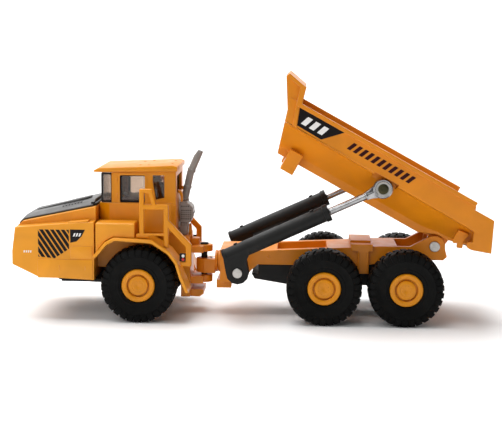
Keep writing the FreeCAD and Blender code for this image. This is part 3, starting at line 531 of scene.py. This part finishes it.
def make_rim(label, body, side):
    """A rim: rounded outer flange, dished web, deep groove and a domed hub cap with a dimple."""
    centre, reach = extent(label)
    face, bead = reach.y, reach.z
    profile = [(-face, 0), (-face, bead - 0.1), (face - 0.75, bead), (face - 0.35, bead - 0.02),
               (face - 0.08, bead - 0.2), (face, bead - 0.45), (face - 0.03, bead - 0.8),
               (face - 0.13, bead - 1.28), (face - 0.3, bead - 1.45), (face - 1.15, bead - 1.5),
               (face - 1.15, 2.72), (face - 0.42, 2.68), (face - 0.2, 2.52), (face - 0.1, 2.2),
               (face - 0.04, 1.75), (face - 0.12, 1.65), (face - 0.1, 0.62), (face - 0.22, 0.4),
               (face - 0.24, 0)]
    bm = bmesh.new()
    lathe(bm, profile, turn=facing(side), sides=72)
    for index in range(8):
        angle = 2 * math.pi * (index + 0.5) / 8
        spot = Vector((1.15 * math.cos(angle), side * (face - 0.14), 1.15 * math.sin(angle)))
        button(bm, spot, 0.15, 0.08, facing(side), 10)
    built(f"{label}_turned", bm, in_mm(centre), YELLOW, body, (label,), crease=30)


def make_wheels():
    """Every tyre and rim, riding on its axle set."""
    for axle in ("front", "mid", "rear"):
        for side_name, side in SIDES:
            make_tyre(f"{axle}_{side_name}_tyre", f"{axle}_axle_set")
            make_rim(f"{axle}_{side_name}_rim", f"{axle}_axle_set", side)


# ---------------------------------------------------------------- lift cylinders and their pins

LIFT_OFFSET = 5.17
LIFT_AXIS = (0, 0, LIFT_OFFSET)
EYE_ALONG = 45.67


def make_rod(side_name):
    """A plated rod with a forged neck and a rounded ring eye."""
    bm = bmesh.new()
    shank = [(17.3, 0), (17.3, 0.9), (17.5, 1.0), (43.2, 1.0), (43.2, 0)]
    stop = [(40.4, 0), (40.4, 0.98), (40.55, 1.2), (40.9, 1.25), (41.2, 1.1), (41.2, 0)]
    for profile in (shank, stop):
        lathe(bm, profile, LIFT_AXIS, REARWARD, 32)
    neck = [(40.6, -1.05), (42.0, -1.3), (43.9, -1.9), (43.9, 1.9), (42.0, 1.3), (40.6, 1.05)]
    prism(bm, [(x, z + LIFT_OFFSET) for x, z in neck], -0.95, 0.95, 0.25)
    ring = [(-1.2, 2.1), (-1.2, 2.45), (-1.0, 2.68), (-0.6, 2.75), (0.6, 2.75), (1.0, 2.68),
            (1.2, 2.45), (1.2, 2.1), (1.05, 2.0), (-1.05, 2.0), (-1.2, 2.1)]
    lathe(bm, ring, (EYE_ALONG, 0, LIFT_OFFSET), sides=56)
    built(f"{side_name}_rod_plated", bm, cylinder_space(side_name), CHROME,
          f"{side_name}_rod_body", (f"{side_name}_rod",))


def make_rod_pin(side_name, side):
    """The bed's stub pin: a flat steel washer and a dull domed head with a dimple."""
    centre, half = extent(f"{side_name}_rod_pin")
    reach = half.y
    bm = bmesh.new()
    washer = [(-reach, 0), (-reach, 0.95), (reach - 0.5, 0.95), (reach - 0.5, 1.95),
              (reach - 0.4, 2.05), (reach - 0.22, 2.05), (reach - 0.15, 1.98),
              (reach - 0.15, 1.55), (reach - 0.3, 1.5), (reach - 0.3, 0)]
    lathe(bm, washer, turn=facing(side))
    built(f"{side_name}_rod_pin_washer", bm, in_mm(centre), STEEL, "bed")
    bm = bmesh.new()
    dome = [(reach - 0.4, 0), (reach - 0.4, 1.45), (reach - 0.16, 1.42), (reach - 0.04, 1.2),
            (reach, 0.8), (reach - 0.02, 0.5), (reach - 0.12, 0.38), (reach - 0.14, 0)]
    lathe(bm, dome, turn=facing(side), sides=40)
    built(f"{side_name}_rod_pin_head", bm, in_mm(centre), OLIVE, "bed", (f"{side_name}_rod_pin",))


def make_barrel_details(side_name):
    """End bead, gland ring and oil ports of a barrel."""
    bm = bmesh.new()
    bead = [(-1.88, 0), (-1.88, 1.9), (-1.78, 2.2), (-1.45, 2.32), (-1.1, 2.3), (-0.9, 2.1),
            (-0.9, 0)]
    collar = [(28.2, 2.1), (28.35, 2.42), (29.4, 2.42), (29.7, 2.3), (29.76, 2.0), (29.76, 1.25),
              (29.5, 1.1), (29.2, 1.1)]
    port = [(2.0, 0), (2.0, 0.6), (2.42, 0.55), (2.5, 0.4), (2.5, 0)]
    for profile in (bead, collar):
        lathe(bm, profile, LIFT_AXIS, REARWARD)
    for along in (2.6, 25.4):
        lathe(bm, port, (along, 0, LIFT_OFFSET), UPWARD, 20)
    built(f"{side_name}_barrel_trim", bm, cylinder_space(side_name), BLACK,
          f"{side_name}_barrel_body")


# ---------------------------------------------------------------- marks on the sides

SUNK = 0.3
BED_FACE = 18.7
BED_SIDE = (BED_FACE, BED, "bed")
BODY_FACE = 17.5
BODY_SIDE = (BODY_FACE, TRUCK, "front_unit")
BADGE = [(-52.5, 15.8), (-51.5, 11.3), (-43.1, 11.1), (-38.5, 15.8)]
BADGE_MARKS = [[(x, 12.2), (x + 1.5, 12.2), (x + 2.4, 14.7), (x + 0.9, 14.7)]
               for x in (-50.0, -47.5, -45.0)]


def side_plate(name, outlines, side, surface, finish, proud, bevel=0.0):
    """Thin plates sunk in an upright side face and standing proud of it."""
    face, space, body = surface
    bm = bmesh.new()
    for outline in outlines:
        low, high = sorted((side * (face - SUNK), side * (face + proud)))
        prism(bm, outline, low, high, bevel)
    built(name, bm, space, finish, body)


def bar_row(start, end, low, high, count, lean, gap):
    """A row of even leaning bars, a plain stripe mark."""
    pitch = (end - start) / count
    bars = []
    for index in range(count):
        left = start + index * pitch
        right = left + pitch * (1 - gap)
        bars.append([(left, low), (right, low), (right + lean, high), (left + lean, high)])
    return bars


def make_bed_marks():
    """Plain marks on both bed sides."""
    stripe = bar_row(-35.9, -15.9, 12.4, 14.7, 11, 1.0, 0.42)
    for side_name, side in SIDES:
        for part, outlines, finish, proud in (("badge", [BADGE], BLACK_MARKS_TRIM_AND_SHADE, 0.05),
                                              ("badge_marks", BADGE_MARKS, MARK_WHITE, 0.08),
                                              ("stripe_marks", stripe, MARK_RED, 0.05)):
            side_plate(f"{side_name}_bed_{part}", outlines, side, BED_SIDE, finish, proud)


# ---------------------------------------------------------------- front unit details

VENT_WINDOW = [(-27.9, 17.9), (-23.3, 17.5), (-19.3, 20.2), (-19.3, 25.5), (-27.9, 25.5)]
SLAT_PITCH = 1.5
PATCH = [(-18.9, 21.9), (-17.2, 22.3), (-15.8, 23.7), (-14.8, 25.6), (-19.0, 25.6)]


def vent_slats():
    """Slanting slats that run down to the rear, cut off by the vent's outline."""
    slats = []
    for index in range(-7, 9):
        left = -27.9 + SLAT_PITCH * index
        right = left + 0.7 * SLAT_PITCH
        slat = clipped([(left + 6.0, 17.0), (right + 6.0, 17.0), (right, 26.0), (left, 26.0)],
                       VENT_WINDOW)
        if slat:
            slats.append(slat)
    return slats


def make_body_marks():
    """Vent slats, dark patch and plain marks on the bonnet sides."""
    patch_marks = bar_row(-18.2, -15.9, 23.7, 24.6, 3, 0.35, 0.42)
    nose_marks = bar_row(-32.0, -29.6, 19.0, 19.6, 4, 0.1, 0.45)
    for side_name, side in SIDES:
        for part, outlines, finish, proud in (("vent_slats", vent_slats(), BLACK_MARKS_TRIM_AND_SHADE, 0.06),
                                              ("body_patch", [PATCH], BLACK_MARKS_TRIM_AND_SHADE, 0.05),
                                              ("body_patch_marks", patch_marks, MARK_WHITE, 0.08),
                                              ("nose_marks", nose_marks, MARK_WHITE, 0.04)):
            side_plate(f"{side_name}_{part}", outlines, side, BODY_SIDE, finish, proud)


def make_body_panels():
    """Raised panels on the bonnet sides: skirt, rear hatch, two ribs and a strip on the ledge."""
    skirt = [(-28.1, 12.0), (-12.8, 11.9), (-12.8, 17.2), (-28.1, 17.2)]
    hatch = [(-18.9, 17.6), (-12.9, 17.6), (-12.9, 21.0), (-18.4, 21.0), (-18.9, 20.4)]
    ribs = [[(-22.2, 14.0), (-21.9, 14.0), (-21.9, 15.6), (-22.2, 15.6)],
            [(-15.0, 14.3), (-14.7, 14.3), (-14.7, 15.3), (-15.0, 15.3)]]
    ledge = [(-19.6, 27.0), (-14.0, 27.55), (-14.0, 28.15), (-19.6, 27.6)]
    raised = 0.2
    on_panels = (BODY_FACE + raised, TRUCK, "front_unit")
    for side_name, side in SIDES:
        side_plate(f"{side_name}_body_panels", [skirt, hatch], side, BODY_SIDE, ORANGE_FRONT,
                   raised, 0.09)
        side_plate(f"{side_name}_body_ribs", ribs, side, on_panels, ORANGE_FRONT, 0.12, 0.04)
        strip = bmesh.new()
        prism(strip, ledge, *sorted((side * 14.2, side * 17.2)), 0.12)
        on_front(f"{side_name}_ledge_strip", strip, ORANGE_FRONT)


# Each end of the bonnet panel: station, underside, half width, edge and crown thickness.
BONNET_ENDS = ((-32.9, 27.33, 12.2, 0.5, 1.1), (-13.4, 31.46, 12.4, 0.6, 1.6))
# How the panel's edge climbs over its length.
BONNET_RISE = math.atan2(4.23, 19.5)


def bonnet_top(station, y):
    """The height of the bonnet panel's top, from its two end sections."""
    front, rear = BONNET_ENDS
    share = (station - front[0]) / (rear[0] - front[0])
    under, half, edge, crown = (a + (b - a) * share for a, b in zip(front[1:], rear[1:]))
    slope = min(1.0, max(0.0, (half - abs(y)) / (0.4 * half)))
    return under + edge + (crown - edge) * slope


def make_bonnet_details():
    """Black blocks across the bonnet panel that paint the shade of its louvre slots, its raised
    spine and a dark seal at its rear edge.
    """
    # painted shade: black blocks where the louvre slots would lie in shadow
    bm = bmesh.new()
    for index in range(7):
        station = -22.6 + 0.85 * index
        for y in (4.4, 6.0, 7.6, -4.4, -6.0, -7.6):
            place = (Matrix.Translation((station, y, bonnet_top(station, y)))
                     @ Matrix.Rotation(-BONNET_RISE, 4, "Y"))
            block(bm, (-0.22, -0.68, -0.25), (0.22, 0.68, 0.07), 0.05, place)
    on_front("bonnet_louvre_shade", bm, BLACK_MARKS_TRIM_AND_SHADE)
    bm = bmesh.new()
    spine = [(-31.5, 28.3), (-15.9, 31.9), (-15.9, 33.0), (-17.0, 32.76), (-31.5, 29.0)]
    prism(bm, spine, -1.6, 1.6, 0.2)
    ridge = [(-30.5, 28.3), (-16.2, 31.8), (-16.2, 32.85), (-30.5, 28.95)]
    for side in (-1, 1):
        prism(bm, ridge, *sorted((side * 2.9, side * 3.2)), 0.08)
    on_front("bonnet_spine", bm, GREY_DARK)
    bm = bmesh.new()
    block(bm, (-13.35, -11.9, 30.9), (-12.5, 11.9, 32.3), 0.2)
    for side in (-1, 1):
        button(bm, (-13.6, side * 11.2, 32.1), 0.6, 0.5, UPWARD, 20)
    on_front("bonnet_seal", bm, BLACK_MARKS_TRIM_AND_SHADE)


NOSE_FOOT = (-35.2, 19.2)
NOSE_SLOPE = 0.9 / 6.8


def nose_place(height):
    """A place on the nose face at a height, with Z running up the leaning face."""
    station = NOSE_FOOT[0] + (height - NOSE_FOOT[1]) * NOSE_SLOPE
    return (Matrix.Translation((station, 0, height))
            @ Matrix.Rotation(math.atan(NOSE_SLOPE), 4, "Y"))


def make_nose_details():
    """Grille with louvres, four round lamps and two tow eyes on the nose."""
    grille = bmesh.new()
    bars = bmesh.new()
    place = nose_place(22.4)
    block(grille, (-0.12, -8.2, -2.6), (0.5, 8.2, 2.9), 0.1, place)
    for index in range(6):
        level = -2.2 + 0.92 * index
        block(bars, (-0.3, -8.0, level - 0.2), (0.4, 8.0, level + 0.2), 0.08, place)
    for y in (-8.2, 0, 8.2):
        block(bars, (-0.32, y - 0.25, -2.7), (0.4, y + 0.25, 3.0), 0.08, place)
    on_front("nose_grille_back", grille, BLACK_MARKS_TRIM_AND_SHADE)
    on_front("nose_grille_bars", bars, GREY)
    bezel = [(-0.3, 0.8), (0.18, 0.85), (0.28, 0.98), (0.2, 1.12), (-0.3, 1.15)]
    lens = [(-0.2, 0), (-0.2, 0.86), (0.08, 0.82), (0.2, 0.5), (0.24, 0)]
    bezels = bmesh.new()
    lenses = bmesh.new()
    for y in (-10.2, 10.2):
        for level in (20.6, 23.2):
            spot = nose_place(level) @ Vector((0, y, 0))
            lathe(bezels, bezel, spot, FORWARD, 32)
            lathe(lenses, lens, spot, FORWARD, 28)
    on_front("nose_lamp_bezels", bezels, BLACK_MARKS_TRIM_AND_SHADE)
    on_front("nose_lamp_lenses", lenses, LENS)
    eyes = bmesh.new()
    eye = [(-35.95, 17.2), (-35.9, 18.4), (-35.0, 18.6), (-35.0, 16.4)]
    for side in (-1, 1):
        prism(eyes, eye, *sorted((side * 3.2, side * 4.4)), 0.15)
    on_front("nose_tow_eyes", eyes, ORANGE_FRONT)


def frame_ring(bm, outer, inner, low, high):
    """A flat frame between two outlines with matching corners."""
    count = len(outer)
    rings = [[bm.verts.new((x, y, z)) for x, z in outline]
             for outline, y in ((outer, low), (inner, low), (inner, high), (outer, high))]
    for first, second in zip(rings, rings[1:] + rings[:1]):
        for index in range(count):
            after = (index + 1) % count
            bm.faces.new((first[index], first[after], second[after], second[index]))


def rounded(low, high, bottom, top, radius):
    """A rectangle with rounded corners as an outline."""
    outline = []
    corners = ((high - radius, bottom + radius, -90), (high - radius, top - radius, 0),
               (low + radius, top - radius, 90), (low + radius, bottom + radius, 180))
    for x, z, start in corners:
        for step in range(4):
            angle = math.radians(start + 30 * step)
            outline.append((x + radius * math.cos(angle), z + radius * math.sin(angle)))
    return outline


PILLAR_FACE = 9.9
ROOF_HALF = 10.9
ROOF_FRONT = (-12.2, 42.05)
ROOF_REAR = (8.7, 43.0)


def make_cab_roof():
    """The roof slab, highest at the rear, with its sun visor lip at the front, and its studs."""
    outline = [(-13.8, 41.15), (-13.2, 40.84), (10.0, 41.25), (10.0, 42.6), ROOF_REAR, ROOF_FRONT]
    bm = bmesh.new()
    prism(bm, outline, -ROOF_HALF, ROOF_HALF, 0.35)
    on_front("cab_roof_slab", bm, YELLOW, ("cab_roof",), crease=40)
    slope = (ROOF_REAR[1] - ROOF_FRONT[1]) / (ROOF_REAR[0] - ROOF_FRONT[0])
    bm = bmesh.new()
    for station, y in ((-1.0, -5.2), (1.5, -6.4), (8.0, -4.4), (-1.0, 5.2), (1.5, 6.4), (8.0, 4.4)):
        height = ROOF_FRONT[1] + (station - ROOF_FRONT[0]) * slope
        button(bm, (station, y, height - 0.03), 0.38, 0.16, UPWARD, 16)
    on_front("roof_studs", bm, YELLOW)


def make_cab_details():
    """Door frames with hinges, window seals, door handles and the wiper."""
    door = (rounded(-6.75, 1.35, 31.9, 40.6, 0.6), rounded(-6.25, 0.85, 32.3, 40.05, 0.35))
    seals = ((rounded(-6.5, 1.1, 32.3, 40.3, 0.3), rounded(-5.85, 0.7, 32.9, 39.75, 0.3)),
             (rounded(-11.6, -8.4, 32.3, 40.6, 0.3), rounded(-11.05, -8.9, 32.8, 40.1, 0.3)))
    hinge = [(-0.5, 0), (-0.5, 0.28), (0.5, 0.28), (0.5, 0)]
    for side_name, side in SIDES:
        bm = bmesh.new()
        frame_ring(bm, *door, *sorted((side * (PILLAR_FACE - 0.35), side * (PILLAR_FACE + 0.13))))
        for level in (34.4, 38.6):
            lathe(bm, hinge, (-7.0, side * (PILLAR_FACE + 0.02), level), UPWARD, 14)
        on_front(f"{side_name}_door_frame", bm, YELLOW)
        bm = bmesh.new()
        for outer, inner in seals:
            frame_ring(bm, outer, inner, *sorted((side * 9.1, side * 9.3)))
        on_front(f"{side_name}_window_seals", bm, BLACK_MARKS_TRIM_AND_SHADE)
        bm = bmesh.new()
        low, high = sorted((side * 10.4, side * 10.72))
        block(bm, (-0.1, low, 30.5), (1.1, high, 30.85), 0.08)
        on_front(f"{side_name}_door_handle", bm, BLACK)
    bm = bmesh.new()
    block(bm, (-11.72, -0.18, 33.2), (-11.5, 0.18, 38.8), 0.05)
    button(bm, (-11.6, 0, 33.2), 0.4, 0.3, FORWARD, 16)
    on_front("wiper", bm, BLACK_MARKS_TRIM_AND_SHADE)


def make_muffler_details():
    """Black dots painted as the shade inside the muffler guard's perforations, bands of the guard,
    and clamps on the stack.
    """
    # painted shade: raised black dots stand in for the shadowed holes of the guard
    bm = bmesh.new()
    pitch = 0.62
    start = 10.5
    face = 2.96
    for level, end in ((27.0, 13.1), (28.2, 13.5), (29.4, 13.5), (30.6, 12.9), (25.8, 12.3)):
        for index in range(int((end - start) / pitch) + 1):
            station = start + pitch * index
            for side in (-1, 1):
                button(bm, (station, side * face, level), 0.19, 0.1, facing(side), 8)
                button(bm, (station, side * face, level - 0.6), 0.14, 0.08, facing(side), 8)
    for level, station in ((27.4, 13.52), (28.6, 13.75), (29.8, 13.57)):
        for index in range(7):
            button(bm, (station, -2.4 + 0.8 * index, level), 0.19, 0.1, REARWARD, 8)
    on_front("muffler_perforation_shade", bm, BLACK_MARKS_TRIM_AND_SHADE)
    bm = bmesh.new()
    for level in (26.4, 30.05):
        block(bm, (9.95, -3.12, level - 0.16), (13.0, 3.12, level + 0.16), 0.06)
    foot = Vector((11.0, 0, 32.0))
    bend = Vector((12.7, 0, 40.0))
    tip = Vector((15.4, 0, 46.4))
    ring = [(-0.35, 1.0), (-0.3, 1.22), (0.3, 1.22), (0.35, 1.0)]
    for near, far, share in ((foot, bend, 0.05), (foot, bend, 0.5), (bend, tip, 0.12)):
        turn = (far - near).to_track_quat("Y", "Z").to_matrix().to_4x4()
        spot = near.lerp(far, share)
        lathe(bm, ring, spot, turn, 32)
        block(bm, (1.05, -0.3, -0.3), (1.5, 0.3, 0.3), 0.1, Matrix.Translation(spot) @ turn)
    on_front("stack_clamps", bm, GREY)


def make_stack_mouth_shade():
    """A black disc just over the stack's closed mouth: painted shade standing in for the dark
    inside of the stack.
    """
    bm = bmesh.new()
    bm.from_mesh(frame["nodes"]["exhaust_stack"].data)
    bmesh.ops.remove_doubles(bm, verts=bm.verts, dist=0.01 * MM)
    bmesh.ops.dissolve_limit(bm, angle_limit=0.01, verts=bm.verts, edges=bm.edges, delimit=set())
    mouth = max((face for face in bm.faces if len(face.verts) > 12),
                key=lambda face: face.calc_center_median().z)
    centre = mouth.calc_center_median()
    normal = mouth.normal.copy()
    inset = 0.74
    rim = [centre + inset * (vert.co - centre) + 0.02 * MM * normal for vert in mouth.verts]
    bm.free()
    # painted shade: a thin black disc laid over the mouth where the inside of the stack would be in
    # shadow
    shade_disc = bmesh.new()
    top = [shade_disc.verts.new(point) for point in rim]
    bottom = [shade_disc.verts.new(point - 0.1 * MM * normal) for point in rim]
    shade_disc.faces.new(top)
    shade_disc.faces.new(list(reversed(bottom)))
    for index in range(len(rim)):
        after = (index + 1) % len(rim)
        shade_disc.faces.new((top[index], bottom[index], bottom[after], top[after]))
    built("stack_mouth", shade_disc, Matrix.Identity(4), BLACK_MARKS_TRIM_AND_SHADE, "front_unit")


def make_tail_lamps():
    """Small lamp blocks behind the wheel arches, each with a red and a clear lens."""
    for side_name, side in SIDES:
        bm = bmesh.new()
        face = 17.6
        low, high = sorted((side * 16.2, side * face))
        block(bm, (11.3, low, 17.2), (13.1, high, 19.3), 0.12)
        on_front(f"{side_name}_lamp_block", bm, BLACK)
        for name, level, finish in (("red", 17.75, LENS_RED), ("clear", 18.75, MARK_WHITE)):
            bm = bmesh.new()
            button(bm, (12.3, side * face, level), 0.42, 0.14, facing(side), 20)
            on_front(f"{side_name}_{name}_lens", bm, finish)


def make_interior():
    """Seat cushions, the console across the cab and the dials on the dashboard."""
    bm = bmesh.new()
    block(bm, (-1.4, -2.6, 29.9), (3.0, 2.6, 30.9), 0.4)
    lean = Matrix.Translation((3.6, 0, 33.6)) @ Matrix.Rotation(0.2, 4, "Y")
    block(bm, (-0.9, -2.5, -2.7), (0.0, 2.5, 3.3), 0.4, lean)
    on_front("seat_cushions", bm, INTERIOR)
    bm = bmesh.new()
    block(bm, (-6.6, -7.8, 31.2), (3.2, 7.8, 32.9), 0.3)
    on_front("cab_console", bm, INTERIOR)
    bm = bmesh.new()
    for y in (-4.6, -2.9, 2.9, 4.6):
        button(bm, (-8.0, y, 31.9), 0.55, 0.15, Matrix.Rotation(-math.pi / 3, 4, "Z"), 16)
    on_front("dashboard_dials", bm, GREY)


# ---------------------------------------------------------------- chassis details

ROLL_HEIGHT = 14.5
BOLT_RING = 2.35


def make_chassis_details():
    """Bolt heads and ribs on the rear chassis, and the bolts of the hitch's round plate."""
    bm = bmesh.new()
    for side in (-1, 1):
        low, high = sorted((side * 9.1, side * 9.4))
        for station in (61.0, 63.4):
            block(bm, (station - 0.22, low, 13.4), (station + 0.22, high, 19.2), 0.08)
        for station, level in ((35.5, 17.2), (47.0, 17.4), (56.5, 17.6), (69.5, 18.9)):
            button(bm, (station, side * 7.95, level), 0.5, 0.25, facing(side), 6)
    for degrees in range(0, 360, 60):
        angle = math.radians(degrees)
        spot = (21.35, BOLT_RING * math.cos(angle), ROLL_HEIGHT + BOLT_RING * math.sin(angle))
        button(bm, spot, 0.32, 0.25, FORWARD, 6)
    built("chassis_trim", bm, TRUCK, ORANGE, "rear_chassis")


# ---------------------------------------------------------------- studio, in metres

SHEET_HALF = 2.0
FLOOR_FRONT = -1.2
FLOOR_BACK = 0.62
CURVE_RADIUS = 0.25
BACKDROP_TOP = 1.0


def staged_sheet(name, rows, finish):
    """A wide sheet through (y, z) rows, part of the studio and not of the truck."""
    bm = bmesh.new()
    lines = [[bm.verts.new((x, y, z)) for x in (-SHEET_HALF, SHEET_HALF)] for y, z in rows]
    for first, second in zip(lines, lines[1:]):
        bm.faces.new((first[0], first[1], second[1], second[0]))
    mesh = bpy.data.meshes.new(name)
    bm.to_mesh(mesh)
    bm.free()
    mesh.materials.append(finish)
    for polygon in mesh.polygons:
        polygon.use_smooth = True
    sheet = bpy.data.objects.new(name, mesh)
    bpy.context.scene.collection.objects.link(sheet)


def make_studio():
    """A pale floor and, far behind, a backdrop that glows evenly."""
    floor = Shader("studio_floor_white", 0.9, Specular_IOR_Level=0.1)
    shade = floor.spread(floor.noise(120, 2.0), 0, 1)
    floor.colour(floor.mix(shade, (0.945, 0.944, 0.943), (0.96, 0.959, 0.958)))
    staged_sheet("studio_floor", [(FLOOR_FRONT, 0.0), (FLOOR_BACK, 0.0)], floor.material)
    glow = Shader("studio_backdrop_white", 0.9, Specular_IOR_Level=0.0, Emission_Strength=1.0,
                  Emission_Color=(1, 1, 1, 1))
    shade = glow.spread(glow.noise(120, 2.0), 0, 1)
    glow.colour(glow.mix(shade, (0.3, 0.3, 0.3), (0.32, 0.32, 0.32)))
    rows = []
    for degrees in range(0, 91, 10):
        angle = math.radians(degrees)
        rows.append((FLOOR_BACK + CURVE_RADIUS * math.sin(angle),
                     CURVE_RADIUS - CURVE_RADIUS * math.cos(angle)))
    rows.append((FLOOR_BACK + CURVE_RADIUS, BACKDROP_TOP))
    staged_sheet("studio_backdrop", rows, glow.material)


def add_lamp(name, spot, aim, size, power):
    """A square soft lamp at a spot, turned to its aim."""
    data = bpy.data.lights.new(name, "AREA")
    data.size = size
    data.energy = power
    lamp = bpy.data.objects.new(name, data)
    lamp.location = spot
    lamp.rotation_mode = "QUATERNION"
    lamp.rotation_quaternion = (Vector(aim) - Vector(spot)).to_track_quat("-Z", "Y")
    bpy.context.scene.collection.objects.link(lamp)


def light_studio():
    """A large lamp above and a little behind, a weak one in front, and a pale surround."""
    world = bpy.data.worlds.new("surround")
    world.use_nodes = True
    background = world.node_tree.nodes["Background"]
    background.inputs["Color"].default_value = (1.0, 1.0, 1.0, 1)
    background.inputs["Strength"].default_value = 0.15
    bpy.context.scene.world = world
    bpy.context.scene.view_settings.view_transform = "Standard"
    add_lamp("lamp_over", (-0.3, 0.22, 0.85), (-0.12, 0.16, 0), 0.9, 14.5)
    add_lamp("lamp_front", (-0.2, -0.36, 0.28), (-0.03, -0.03, 0.01), 0.3, 0.65)


CAMERA_SPOT = Vector((0.013758, -0.345084, 0.076121))
CAMERA_YAW = 0.0406502
CAMERA_PITCH = 0.1385543
CAMERA_ROLL = 0.0097470


def make_camera():
    """The camera, above the cab's level, looking down at the truck's left side."""
    data = bpy.data.cameras.new("camera")
    data.lens = 86.87
    data.sensor_width = 36
    data.clip_start = 0.01
    data.clip_end = 10
    camera = bpy.data.objects.new("camera", data)
    turn = (Matrix.Rotation(CAMERA_YAW, 4, "Z")
            @ Matrix.Rotation(math.pi / 2 - CAMERA_PITCH, 4, "X")
            @ Matrix.Rotation(CAMERA_ROLL, 4, "Z"))
    camera.matrix_world = Matrix.Translation(CAMERA_SPOT) @ turn
    bpy.context.scene.collection.objects.link(camera)
    bpy.context.scene.camera = camera


def make_truck():
    """Every piece of the toy."""
    soften_castings()
    make_wheels()
    for side_name, side in SIDES:
        make_rod(side_name)
        make_rod_pin(side_name, side)
        make_barrel_details(side_name)
    make_bed_marks()
    make_body_marks()
    make_body_panels()
    make_bonnet_details()
    make_nose_details()
    make_cab_roof()
    make_cab_details()
    make_muffler_details()
    make_stack_mouth_shade()
    make_tail_lamps()
    make_interior()
    make_chassis_details()


make_truck()
make_studio()
light_studio()
make_camera()

bpy.context.view_layer.update()
